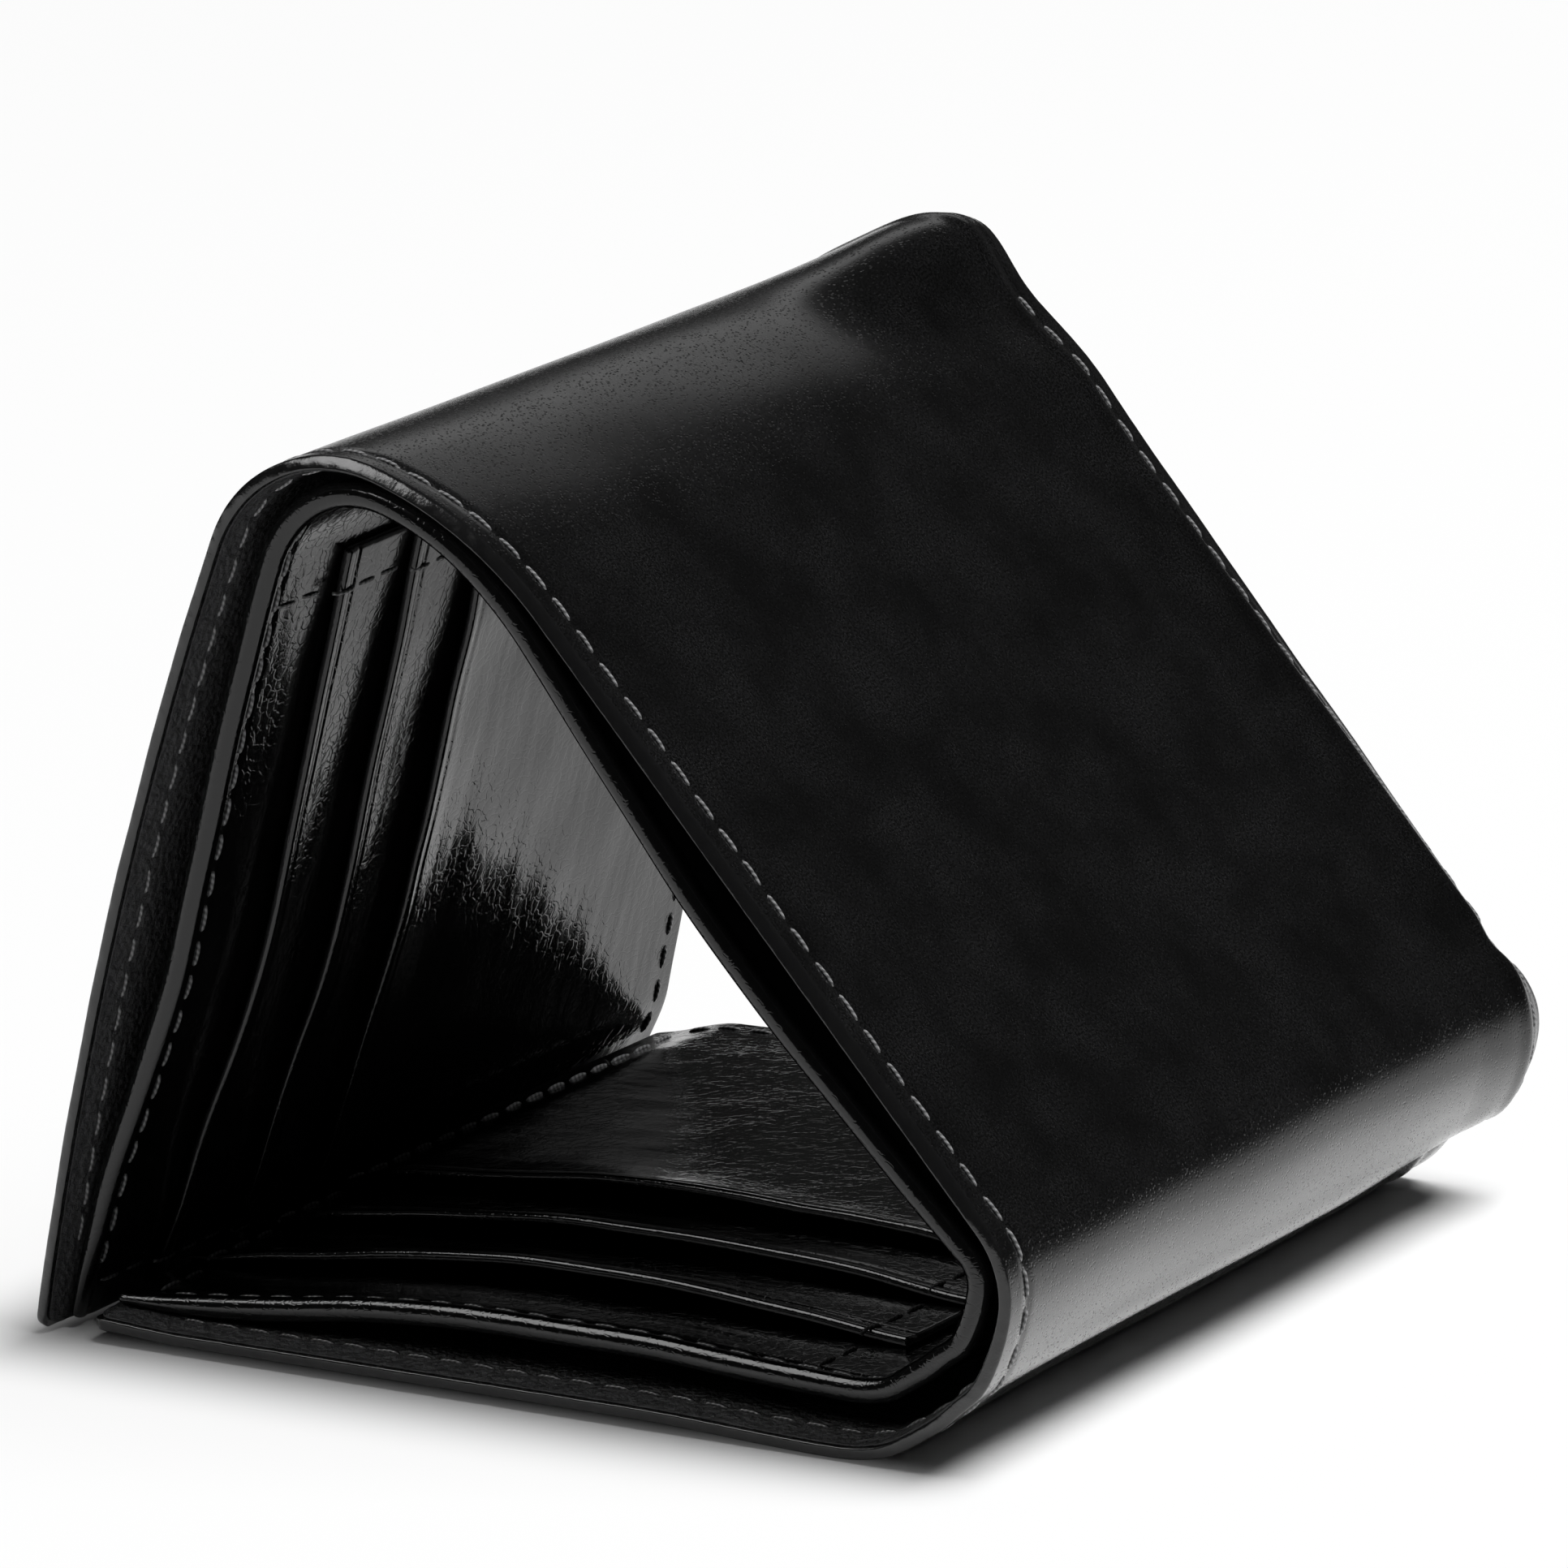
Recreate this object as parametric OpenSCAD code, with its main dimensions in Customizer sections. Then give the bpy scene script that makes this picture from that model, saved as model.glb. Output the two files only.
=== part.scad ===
// Black leather trifold wallet, standing on its panels as a tent.
// The section runs from the free end of the bottom panel, round the lower fold, up the middle
// panel, over the top fold and down the left panel. A place on it is (s, n, y): s is the length
// along the outside of the cover, 0 where the lower fold starts, n is the depth inwards from that
// face, and y is the distance from the edge where the bill compartment opens.

/* [Overall size] */
// Height of the wallet, from the bill opening to the closed edge
wallet_h = 102; // [95:1:130]
// Straight length of the middle panel between its two folds
middle_len = 73; // [66:1:90]
// Clear gap between the thread on one flap and the plies of the other where their free ends meet
tip_gap = 0.5; // [0.4:0.05:2]
// Room between the free end of the left panel and the table
floor_gap = 0.1; // [0:0.05:0.5]
// Corner radius at the free ends of the two flaps
corner_r = 1.5; // [1:0.5:8]

/* [Folds] */
// Turn of the wide part of the lower fold, next to the bottom panel, in degrees
lower_turn_wide = 76; // [72:1:80]
// Turn of the tight part of the lower fold, next to the middle panel, in degrees
lower_turn_tight = 54; // [50:1:58]
// Outside radius of the wide part of the lower fold
lower_r_wide = 22; // [18:0.5:26]
// Outside radius of the tight part of the lower fold
lower_r_tight = 10.5; // [10:0.5:16]
// Turn of the wide part of the top fold, next to the middle panel, in degrees
top_turn_wide = 32; // [28:1:36]
// Turn of the tight part of the top fold, next to the left panel, in degrees
top_turn_tight = 83; // [79:1:87]
// Outside radius of the wide part of the top fold
top_r_wide = 43; // [36:1:50]
// Outside radius of the tight part of the top fold
top_r_tight = 17.5; // [15:0.5:22]
// Outward bow of the left panel from end to end, in degrees
left_bow = 11; // [6:1:14]
// Turn from the bottom panel to the first crease of the lower fold, in degrees
lower_crease_1 = 26; // [20:1:32]
// Turn from the bottom panel to the second crease of the lower fold, in degrees
lower_crease_2 = 90; // [84:1:96]
// Turn from the middle panel to the first crease of the top fold, in degrees
top_crease_1 = 21; // [16:1:26]
// Turn from the middle panel to the second crease of the top fold, in degrees
top_crease_2 = 82; // [76:1:88]
// Room between the pieces on the two sides of a crease
crease_gap = 0.3; // [0.2:0.05:0.6]

/* [Layers] */
// Thickness of the outer leather
cover_t = 1.3; // [1:0.1:2]
// Thickness of the lining of the bill compartment
lining_t = 0.6; // [0.5:0.1:1.2]
// Thickness of the inner wall of the bill compartment
divider_t = 1.8; // [1.2:0.1:2.2]
// Thickness of one card slot ply
slot_t = 1; // [0.7:0.1:1.2]
// Room between plies that are sewn together
ply_gap = 0.1; // [0.05:0.05:0.2]
// Thickness left on a ply that is thinned for the seam at a free end, as a share
end_share = 0.55; // [0.4:0.05:0.8]
// Distance from a free end over which the plies are thinned
end_thin = 12; // [8:1:16]
// Extra room in the mouth and middle of a card slot
slot_ease = 0.3; // [0:0.05:0.5]
// Distance over which a slot's extra room fades out at its sewn edges
slot_fade = 14; // [8:1:20]

/* [Bill compartment] */
// Distance of the inner wall's front edge from the cover's front edge
divider_front = 3; // [1.5:0.5:6]
// Opening of the bill compartment at the middle of the bottom panel
gap_bottom = 3.6; // [1:0.1:4.5]
// Opening of the bill compartment at the lower fold
gap_lower_fold = 2.9; // [1:0.1:3.5]
// Opening of the bill compartment at the middle of the middle panel
gap_middle = 5.7; // [2:0.1:6.5]
// Opening of the bill compartment at the top fold
gap_top_fold = 1.8; // [0.6:0.1:3.5]
// Opening of the bill compartment at the middle of the left panel
gap_left = 4.3; // [1:0.1:5]

/* [Card slots] */
// Distance of the first slot's mouth from the cover's front edge
slot_first = 15.5; // [12:0.5:20]
// Step from one slot's mouth to the next
slot_step = 11; // [8:0.5:13]
// Distance of the slots' plies from the start of the nearest fold
slot_fold_gap = 1; // [0.5:0.5:4]
// Distance of the inner plies from the cover's edge at a free end
ply_inset = 0.5; // [0.2:0.1:1.5]

/* [Seams] */
// Distance of the long seams from the cover's edges
seam_inset = 3.4; // [2.6:0.2:5]
// Distance of the seams across the panels from the free ends and from the slots' ends
end_seam = 4.6; // [3.6:0.2:6]
// Distance of the seam along the inner wall's front edge from that edge
divider_seam = 2.8; // [2:0.2:5]
// Distance from one stitch to the next
stitch_pitch = 4; // [3.75:0.25:6]
// Length of thread that shows in one stitch
stitch_len = 3; // [1.2:0.1:3.2]
// Thickness of the thread
thread_d = 0.4; // [0.3:0.05:0.8]
// Room between the thread and the cover or lining
thread_gap = 0.04; // [0.02:0.01:0.1]
// Room between the thread and the stepped faces of the divider and slots
ply_thread_gap = 0.12; // [0.1:0.01:0.2]

/* [Hidden] */

// Roundness of turned surfaces
$fn = 96;
// Turn of one step round a curve, in degrees, and the length of one step of a modelled ply
curve_turn = 3;
ply_step = 3;
// Most that a step may cut off a shallow curve
curve_sag = 0.02;
// Steps of a ply across the wallet, the last of them along the closed edge
ply_rows = 6;

function arc_len(r, turn) = r * turn * PI / 180;

// Where a run of length len that turns by turn degrees ends, from the state [x, z, heading, s]
function advance(at, len, turn) =
    turn == 0
    ? [at[0] + len * cos(at[2]), at[1] + len * sin(at[2]), at[2], at[3] + len]
    : let (r = len * 180 / (PI * turn))
      [
          at[0] + r * (sin(at[2] + turn) - sin(at[2])),
          at[1] + r * (cos(at[2]) - cos(at[2] + turn)),
          at[2] + turn,
          at[3] + len
      ];

// Ends of the runs, from the start of the lower fold to the start of the left panel
fold_start = [0, 0, 0, 0];
lower_mid = advance(fold_start, arc_len(lower_r_wide, lower_turn_wide), lower_turn_wide);
middle_start = advance(lower_mid, arc_len(lower_r_tight, lower_turn_tight), lower_turn_tight);
middle_end = advance(middle_start, middle_len, 0);
top_mid = advance(middle_end, arc_len(top_r_wide, top_turn_wide), top_turn_wide);
left_start = advance(top_mid, arc_len(top_r_tight, top_turn_tight), top_turn_tight);

// The left panel ends where its inner corner stands just clear of the table
sheet_t = cover_t + lining_t;
tip_heading = left_start[2] + left_bow;
tip_z = floor_gap - sheet_t * cos(tip_heading);
left_r = (tip_z - left_start[1]) / (cos(left_start[2]) - cos(tip_heading));
left_len = arc_len(left_r, left_bow);
left_end = advance(left_start, left_len, left_bow);

// Smooth step from 0 to 1
function ease(u) = let (v = min(1, max(0, u))) v * v * (3 - 2 * v);

// Share of a ply's thickness at a distance from a free end, and the depth of the whole stack there
slot_count = 3;
function share_at(d) = end_share + (1 - end_share) * ease(d / end_thin);
function end_stack(d) =
    sheet_t + ply_gap + divider_t * share_at(d)
    + slot_count * (ply_gap + slot_ease * ease(d / slot_fade) + slot_t * share_at(d));

// The plies of the bottom panel end one gap short of the left panel's innermost ply
tip_s = left_len - end_stack(0);
tip_at = advance(left_start, tip_s, left_bow * tip_s / left_len);
tip_x = tip_at[0] - end_stack(end_stack(0)) * sin(tip_at[2]);
bottom_len = ply_inset - tip_gap - ply_thread_gap - thread_d - tip_x;
bottom_start = [-bottom_len, 0, 0, -bottom_len];

// Runs of the section as [state at the start, length, turn]
RUNS = [
    [bottom_start, bottom_len, 0],
    [fold_start, lower_mid[3], lower_turn_wide],
    [lower_mid, middle_start[3] - lower_mid[3], lower_turn_tight],
    [middle_start, middle_len, 0],
    [middle_end, top_mid[3] - middle_end[3], top_turn_wide],
    [top_mid, left_start[3] - top_mid[3], top_turn_tight],
    [left_start, left_len, left_bow]
];

// State of the section at s
function run_of(s, i = 0) =
    i == len(RUNS) - 1 || s <= RUNS[i][0][3] + RUNS[i][1] ? i : run_of(s, i + 1);
function section(s) =
    let (run = RUNS[run_of(s)], d = s - run[0][3])
    advance(run[0], d, run[2] * d / run[1]);

// Where the section has turned by an angle inside a fold of a wide and a tight part
function fold_s(start, r_1, turn_1, r_2, angle) =
    start + arc_len(r_1, min(angle, turn_1)) + arc_len(r_2, max(0, angle - turn_1));
crease_lower_1 = fold_s(0, lower_r_wide, lower_turn_wide, lower_r_tight, lower_crease_1);
crease_lower_2 = fold_s(0, lower_r_wide, lower_turn_wide, lower_r_tight, lower_crease_2);
crease_top_1 = fold_s(middle_end[3], top_r_wide, top_turn_wide, top_r_tight, top_crease_1);
crease_top_2 = fold_s(middle_end[3], top_r_wide, top_turn_wide, top_r_tight, top_crease_2);

// Stretches of the section that each rigid body takes
Z_BOTTOM = [-bottom_len, crease_lower_1 - crease_gap / 2];
Z_LOWER = [crease_lower_1 + crease_gap / 2, crease_lower_2 - crease_gap / 2];
Z_MIDDLE = [crease_lower_2 + crease_gap / 2, crease_top_1 - crease_gap / 2];
Z_TOP = [crease_top_1 + crease_gap / 2, crease_top_2 - crease_gap / 2];
Z_LEFT = [crease_top_2 + crease_gap / 2, left_end[3]];

// The part stands on z = 0 with its origin under the centre of its box
right_x = lower_mid[0] + lower_r_tight * (1 - sin(lower_turn_wide)) + thread_gap + thread_d;
origin_x = (right_x + left_end[0]) / 2;
origin_y = wallet_h / 2;

// Share of a ply's thickness at s
function share(s) = share_at(min(s + bottom_len, left_end[3] - s));

// Opening of the bill compartment along its mouth, eased between the named places
GAPS = [
    [-bottom_len + end_seam, 0],
    [-bottom_len / 2, gap_bottom],
    [(crease_lower_1 + crease_lower_2) / 2, gap_lower_fold],
    [(middle_start[3] + middle_end[3]) / 2, gap_middle],
    [(crease_top_1 + crease_top_2) / 2, gap_top_fold],
    [left_start[3] + left_len / 2, gap_left],
    [left_end[3] - end_seam, 0]
];
function mouth(s, i = 0) =
    s <= GAPS[0][0] || s >= GAPS[len(GAPS) - 1][0] ? 0 :
    s > GAPS[i + 1][0] ? mouth(s, i + 1) :
    let (u = (s - GAPS[i][0]) / (GAPS[i + 1][0] - GAPS[i][0]))
    GAPS[i][1] + (GAPS[i + 1][1] - GAPS[i][1]) * ease(u);

// Depth of the divider's two faces: the compartment narrows to its closed edge
function divider_out(s, y) =
    sheet_t + ply_gap + mouth(s) * (wallet_h - max(y, divider_front)) / (wallet_h - divider_front);
function divider_in(s, y) = divider_out(s, y) + divider_t * share(s);

// Slots of one flap lie between its free end and the start of its fold
SLOTS_BOTTOM = [-bottom_len + ply_inset, -slot_fold_gap];
SLOTS_LEFT = [left_start[3] + slot_fold_gap, left_end[3] - ply_inset];
function slot_front(k) = slot_first + (k - 1) * slot_step;

// Depth of the outer and inner face of slot ply k, counted from the divider
function slot_room(span, s, y) =
    ply_gap + slot_ease * min(1, (wallet_h - y) / slot_fade)
    * ease((s - span[0]) / slot_fade) * ease((span[1] - s) / slot_fade);
function slot_out(span, k, s, y) = slot_in(span, k - 1, s, y) + slot_room(span, s, y);
function slot_in(span, k, s, y) =
    divider_in(s, y) + k * (slot_room(span, s, y) + slot_t * share(s));

// Number of slot plies under a place, and the depth of the top face there
function plies_at(y) = y < slot_first ? 0 : min(slot_count, 1 + floor((y - slot_first) / slot_step));
function top_face(span, s, y) =
    s > span[0] && s < span[1] ? slot_in(span, plies_at(y), s, y) : divider_in(s, y);

// Sets its children at s, with x along the section, y across it and z inwards
module frame_at(s) {
    at = section(s);
    translate([at[0] - origin_x, -origin_y, at[1]])
        rotate([0, -at[2], 0])
            children();
}

function place(s, n, y) =
    let (at = section(s))
    [at[0] - n * sin(at[2]) - origin_x, y - origin_y, at[1] + n * cos(at[2])];

// Places where an even sheet along a zone is stepped: at its ends, and evenly round its curves
function curve_steps(zone) = [
    for (run = RUNS)
        let (a = max(zone[0], run[0][3]), b = min(zone[1], run[0][3] + run[1]))
        if (b - a > 0.001)
            let (
                turn = run[2] * (b - a) / run[1],
                sag = turn * PI / 180 * (b - a) / 8,
                n = max(1, ceil(turn / curve_turn), ceil(sqrt(sag / curve_sag)))
            )
            for (i = [0:n - 1]) a + (b - a) * i / n
];

// Even sheet between depths n_1 and n_2 along a zone, over the whole height
module band(zone, n_1, n_2) {
    ss = concat(curve_steps(zone), [zone[1]]);
    back = [for (i = [len(ss) - 1:-1:0]) ss[i]];
    outline = concat([for (s = ss) place(s, n_1, 0)], [for (s = back) place(s, n_2, 0)]);
    rotate([90, 0, 0])
        translate([0, 0, -origin_y])
            linear_extrude(wallet_h)
                polygon([for (p = outline) [p[0], p[2]]]);
}

// Cuts the two corners of the cover and lining round at the local end x = 0
module corner_cuts() {
    for (flip = [0, 1])
        translate([0, flip * wallet_h, -cover_t])
            mirror([0, flip, 0])
                linear_extrude(sheet_t + 2 * cover_t)
                    difference() {
                        translate([-cover_t, -cover_t])
                            square(corner_r + cover_t);
                        translate([corner_r, corner_r])
                            circle(corner_r);
                    }
}

module bottom_sheet(n_1, n_2) {
    difference() {
        band(Z_BOTTOM, n_1, n_2);
        frame_at(-bottom_len)
            corner_cuts();
    }
}

module left_sheet(n_1, n_2) {
    difference() {
        band(Z_LEFT, n_1, n_2);
        frame_at(left_end[3])
            mirror([1, 0, 0])
                corner_cuts();
    }
}

// Steps along a ply, closer together where a free end's corner is round
function steps(a, b) = let (n = ceil((b - a) / ply_step)) [for (i = [0:n]) a + (b - a) * i / n];
function corner_steps() = [for (i = [0:4]) corner_r * (1 - cos(i * 18))];
function steps_from_end(a, b) = concat([for (d = corner_steps()) a + d], steps(a + corner_r, b));
function steps_to_end(a, b) =
    concat(steps(a, b - corner_r), [for (i = [4:-1:0]) b - corner_steps()[i]]);
function corner_in(d) = d >= corner_r ? 0 : corner_r - sqrt(max(0, 2 * corner_r * d - d * d));

// Ply through the steps ss, from y_1(s) to y_2(s), between the depths lo(s, y) and hi(s, y)
module ply(ss, y_1, y_2, lo, hi) {
    n = len(ss) - 1;
    m = ply_rows;
    y_fade = wallet_h - slot_fade;
    across = function (s, j) j == m ? y_2(s) : y_1(s) + (y_fade - y_1(s)) * j / (m - 1);
    grid = [for (s = ss) [for (j = [0:m]) [s, across(s, j)]]];
    low = [for (row = grid) for (p = row) place(p[0], lo(p[0], p[1]), p[1])];
    high = [for (row = grid) for (p = row) place(p[0], hi(p[0], p[1]), p[1])];
    up = len(low);
    w = m + 1;
    faces_flat = [
        for (i = [0:n - 1]) for (j = [0:m - 1])
            let (a = i * w + j, b = a + w)
            each [[a, b, b + 1], [a, b + 1, a + 1],
                [up + a, up + b + 1, up + b], [up + a, up + a + 1, up + b + 1]]
    ];
    faces_long = [
        for (i = [0:n - 1])
            let (a = i * w, b = a + w, c = a + m, d = b + m)
            each [[a, up + b, b], [a, up + a, up + b], [c, d, up + d], [c, up + d, up + c]]
    ];
    faces_end = [
        for (j = [0:m - 1])
            let (a = j, b = j + 1, c = n * w + j, d = c + 1)
            each [[a, b, up + b], [a, up + b, up + a], [c, up + d, d], [c, up + c, up + d]]
    ];
    polyhedron(concat(low, high), concat(faces_flat, faces_long, faces_end), convexity = 6);
}

module divider_piece(ss, end) {
    inset = function (s) is_undef(end) ? 0 : corner_in(abs(s - end));
    ply(
        ss,
        function (s) divider_front + inset(s),
        function (s) wallet_h - ply_inset - inset(s),
        function (s, y) divider_out(s, y),
        function (s, y) divider_in(s, y)
    );
}

module slot_piece(span, ss, k, end) {
    ply(
        ss,
        function (s) slot_front(k),
        function (s) wallet_h - ply_inset - corner_in(abs(s - end)),
        function (s, y) slot_out(span, k, s, y),
        function (s, y) slot_in(span, k, s, y)
    );
}

module bottom_slot(k) {
    slot_piece(SLOTS_BOTTOM, steps_from_end(SLOTS_BOTTOM[0], SLOTS_BOTTOM[1]), k, SLOTS_BOTTOM[0]);
}

module left_slot(k) {
    slot_piece(SLOTS_LEFT, steps_to_end(SLOTS_LEFT[0], SLOTS_LEFT[1]), k, SLOTS_LEFT[1]);
}

// One stitch at s, y on a face at depth n; side is -1 on an outer face and 1 on an inner face
module stitch(s, y, n, side, slope = 0, across = false, room = thread_gap) {
    hollow = side < 0 || across ? 0 : stitch_len * stitch_len / 8 * curvature(s) / shrink(s, n);
    frame_at(s)
        translate([0, y, n + hollow + side * (room + thread_d / 2)])
            rotate(across ? [90, 0, 0] : [0, 90 - atan(slope), 0])
                cylinder(d = thread_d, h = stitch_len, center = true, $fn = 16);
}

// Turn of the section per length at s, in radians, and how much shorter it is at depth n
function curvature(s) = let (run = RUNS[run_of(s)]) run[2] * PI / 180 / run[1];
function shrink(s, n) = 1 - n * curvature(s);

// Places of the stitches of a seam that follows the section at the depth n(s), centred in a zone
function walk(s, end, n) =
    s + stitch_len / 2 / shrink(s, n(s)) > end - thread_gap
    ? []
    : concat([s], walk(s + stitch_pitch / shrink(s, n(s)), end, n));
function seam_walk(zone, n) =
    let (
        k = shrink(zone[0], n(zone[0])),
        trial = walk(zone[0] + stitch_pitch / 2 / k, zone[1], n),
        last = trial[len(trial) - 1],
        spare = max(0, (zone[1] - last) * shrink(last, n(last)) - stitch_pitch / 2)
    )
    walk(zone[0] + (stitch_pitch + spare) / 2 / k, zone[1], n);

// Places of the stitches of a straight seam across the wallet
function seam_places(from, to) =
    let (room = to - from, n = max(1, floor(room / stitch_pitch)))
    [for (i = [0:n - 1]) from + (room - (n - 1) * stitch_pitch) / 2 + i * stitch_pitch];

// Part of a zone that keeps clear of the side seams and corners of a free end
function inner_zone(zone) = [
    max(zone[0], -bottom_len + end_seam + stitch_pitch / 2),
    min(zone[1], left_end[3] - end_seam - stitch_pitch / 2)
];
// Part of a zone where the bill compartment is open enough to show the seam on the lining
lining_show = 26;
function open_zone(zone) =
    [max(zone[0], -bottom_len + lining_show), min(zone[1], left_end[3] - lining_show)];

SEAM_YS = [seam_inset, wallet_h - seam_inset];

// Seam along both edges of the cover, on its outer face
module cover_seams(zone) {
    for (y = SEAM_YS)
        for (s = seam_walk(inner_zone(zone), function (s) 0))
            stitch(s, y, 0, -1);
}

// The same seam along the bill opening, where it shows on the lining
module lining_seam(zone) {
    for (s = seam_walk(open_zone(zone), function (s) sheet_t))
        stitch(s, seam_inset, sheet_t, 1);
}

// Seam across a free end, on the outer face
module cover_end_seam(s) {
    for (y = seam_places(SEAM_YS[0], SEAM_YS[1]))
        stitch(s, y, 0, -1, across = true);
}

// Seam along the divider's mouth edge and the closed edge, on the innermost face
module inner_seams(zone, span) {
    for (y = [divider_front + divider_seam, SEAM_YS[1]])
        for (s = seam_walk(inner_zone(zone), function (s) top_face(span, s, y))) {
            n = top_face(span, s, y);
            reach = stitch_len / 2 / shrink(s, n);
            n_1 = top_face(span, s - reach, y);
            n_2 = top_face(span, s + reach, y);
            if (abs(n_2 - n_1) < slot_t / 2)
                stitch(
                    s, y, max(n, (n_1 + n_2) / 2), 1,
                    slope = (n_2 - n_1) / stitch_len, room = ply_thread_gap
                );
        }
}

// Seam across the slots, close to a free end or to a fold, on the top faces of the slots
module inner_end_seam(span, s) {
    for (y = seam_places(divider_front + divider_seam, SEAM_YS[1] - stitch_pitch / 2)) {
        a = y - stitch_len / 2;
        b = y + stitch_len / 2;
        if (plies_at(a - thread_gap) == plies_at(b + thread_gap))
            stitch(
                s, y, max(top_face(span, s, a), top_face(span, s, b)), 1,
                across = true, room = ply_thread_gap
            );
    }
}

NO_SLOTS = [0, 0];
END_BOTTOM = -bottom_len + end_seam;
END_LEFT = left_end[3] - end_seam;
FOLD_BOTTOM = SLOTS_BOTTOM[1] - end_seam;
FOLD_LEFT = SLOTS_LEFT[0] + end_seam;

OUTER = [0.06, 0.06, 0.065];
LINING = [0.12, 0.12, 0.125];
INNER = [0.09, 0.09, 0.095];
THREAD = [0.02, 0.02, 0.02];

module cover_bottom() { color(OUTER) bottom_sheet(0, cover_t); }
module cover_lower_fold() { color(OUTER) band(Z_LOWER, 0, cover_t); }
module cover_middle() { color(OUTER) band(Z_MIDDLE, 0, cover_t); }
module cover_top_fold() { color(OUTER) band(Z_TOP, 0, cover_t); }
module cover_left() { color(OUTER) left_sheet(0, cover_t); }

module lining_bottom() { color(LINING) bottom_sheet(cover_t, sheet_t); }
module lining_lower_fold() { color(LINING) band(Z_LOWER, cover_t, sheet_t); }
module lining_middle() { color(LINING) band(Z_MIDDLE, cover_t, sheet_t); }
module lining_top_fold() { color(LINING) band(Z_TOP, cover_t, sheet_t); }
module lining_left() { color(LINING) left_sheet(cover_t, sheet_t); }

module divider_bottom() {
    color(INNER) divider_piece(steps_from_end(Z_BOTTOM[0] + ply_inset, Z_BOTTOM[1]), Z_BOTTOM[0] + ply_inset);
}
module divider_lower_fold() { color(INNER) divider_piece(steps(Z_LOWER[0], Z_LOWER[1])); }
module divider_middle() { color(INNER) divider_piece(steps(Z_MIDDLE[0], Z_MIDDLE[1])); }
module divider_top_fold() { color(INNER) divider_piece(steps(Z_TOP[0], Z_TOP[1])); }
module divider_left() {
    color(INNER) divider_piece(steps_to_end(Z_LEFT[0], Z_LEFT[1] - ply_inset), Z_LEFT[1] - ply_inset);
}

module bottom_slot_1() { color(INNER) bottom_slot(1); }
module bottom_slot_2() { color(INNER) bottom_slot(2); }
module bottom_pocket() { color(INNER) bottom_slot(slot_count); }
module left_slot_1() { color(INNER) left_slot(1); }
module left_slot_2() { color(INNER) left_slot(2); }
module left_pocket() { color(INNER) left_slot(slot_count); }

module edge_stitches_bottom() { color(THREAD) lining_seam(Z_BOTTOM); }
module edge_stitches_lower_fold() {
    color(THREAD) {
        cover_seams(Z_LOWER);
        lining_seam(Z_LOWER);
    }
}
module edge_stitches_middle() {
    color(THREAD) {
        cover_seams(Z_MIDDLE);
        lining_seam(Z_MIDDLE);
    }
}
module edge_stitches_top_fold() {
    color(THREAD) {
        cover_seams(Z_TOP);
        lining_seam(Z_TOP);
    }
}
module edge_stitches_left() {
    color(THREAD) {
        cover_seams(Z_LEFT);
        lining_seam(Z_LEFT);
        cover_end_seam(END_LEFT);
    }
}

module inner_stitches_bottom() {
    color(THREAD) {
        inner_seams(Z_BOTTOM, SLOTS_BOTTOM);
        inner_end_seam(SLOTS_BOTTOM, END_BOTTOM);
        inner_end_seam(SLOTS_BOTTOM, FOLD_BOTTOM);
    }
}
module inner_stitches_lower_fold() { color(THREAD) inner_seams(Z_LOWER, NO_SLOTS); }
module inner_stitches_middle() { color(THREAD) inner_seams(Z_MIDDLE, NO_SLOTS); }
module inner_stitches_top_fold() { color(THREAD) inner_seams(Z_TOP, NO_SLOTS); }
module inner_stitches_left() {
    color(THREAD) {
        inner_seams(Z_LEFT, SLOTS_LEFT);
        inner_end_seam(SLOTS_LEFT, END_LEFT);
        inner_end_seam(SLOTS_LEFT, FOLD_LEFT);
    }
}

cover_bottom();
cover_lower_fold();
cover_middle();
cover_top_fold();
cover_left();
lining_bottom();
lining_lower_fold();
lining_middle();
lining_top_fold();
lining_left();
divider_bottom();
divider_lower_fold();
divider_middle();
divider_top_fold();
divider_left();
bottom_slot_1();
bottom_slot_2();
bottom_pocket();
left_slot_1();
left_slot_2();
left_pocket();
edge_stitches_bottom();
edge_stitches_lower_fold();
edge_stitches_middle();
edge_stitches_top_fold();
edge_stitches_left();
inner_stitches_bottom();
inner_stitches_lower_fold();
inner_stitches_middle();
inner_stitches_top_fold();
inner_stitches_left();
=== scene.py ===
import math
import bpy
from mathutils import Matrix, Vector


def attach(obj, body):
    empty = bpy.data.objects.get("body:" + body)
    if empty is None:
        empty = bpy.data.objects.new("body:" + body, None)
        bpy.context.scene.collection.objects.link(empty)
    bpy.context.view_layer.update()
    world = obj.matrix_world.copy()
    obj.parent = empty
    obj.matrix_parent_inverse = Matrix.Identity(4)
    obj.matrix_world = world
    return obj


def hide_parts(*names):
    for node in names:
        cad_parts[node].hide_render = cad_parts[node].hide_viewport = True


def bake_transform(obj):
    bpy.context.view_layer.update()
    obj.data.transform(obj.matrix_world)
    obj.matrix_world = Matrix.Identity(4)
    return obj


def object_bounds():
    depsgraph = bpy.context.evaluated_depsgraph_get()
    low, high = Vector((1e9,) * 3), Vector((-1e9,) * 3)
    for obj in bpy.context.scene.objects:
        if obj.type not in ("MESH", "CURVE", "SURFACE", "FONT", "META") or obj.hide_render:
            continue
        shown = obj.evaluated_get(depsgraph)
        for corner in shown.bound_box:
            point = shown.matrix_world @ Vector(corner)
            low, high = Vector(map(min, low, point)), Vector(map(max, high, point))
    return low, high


bl_info = {
    "name": "Leather trifold wallet",
    "version": (1, 0, 0),
    "blender": (4, 5, 0),
    "location": "View3D > Sidebar > Wallet",
    "description": "Builds a black leather trifold wallet that stands as a tent",
    "category": "Object",
}

import bpy
import numpy as np
from mathutils import Matrix, Vector

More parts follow.
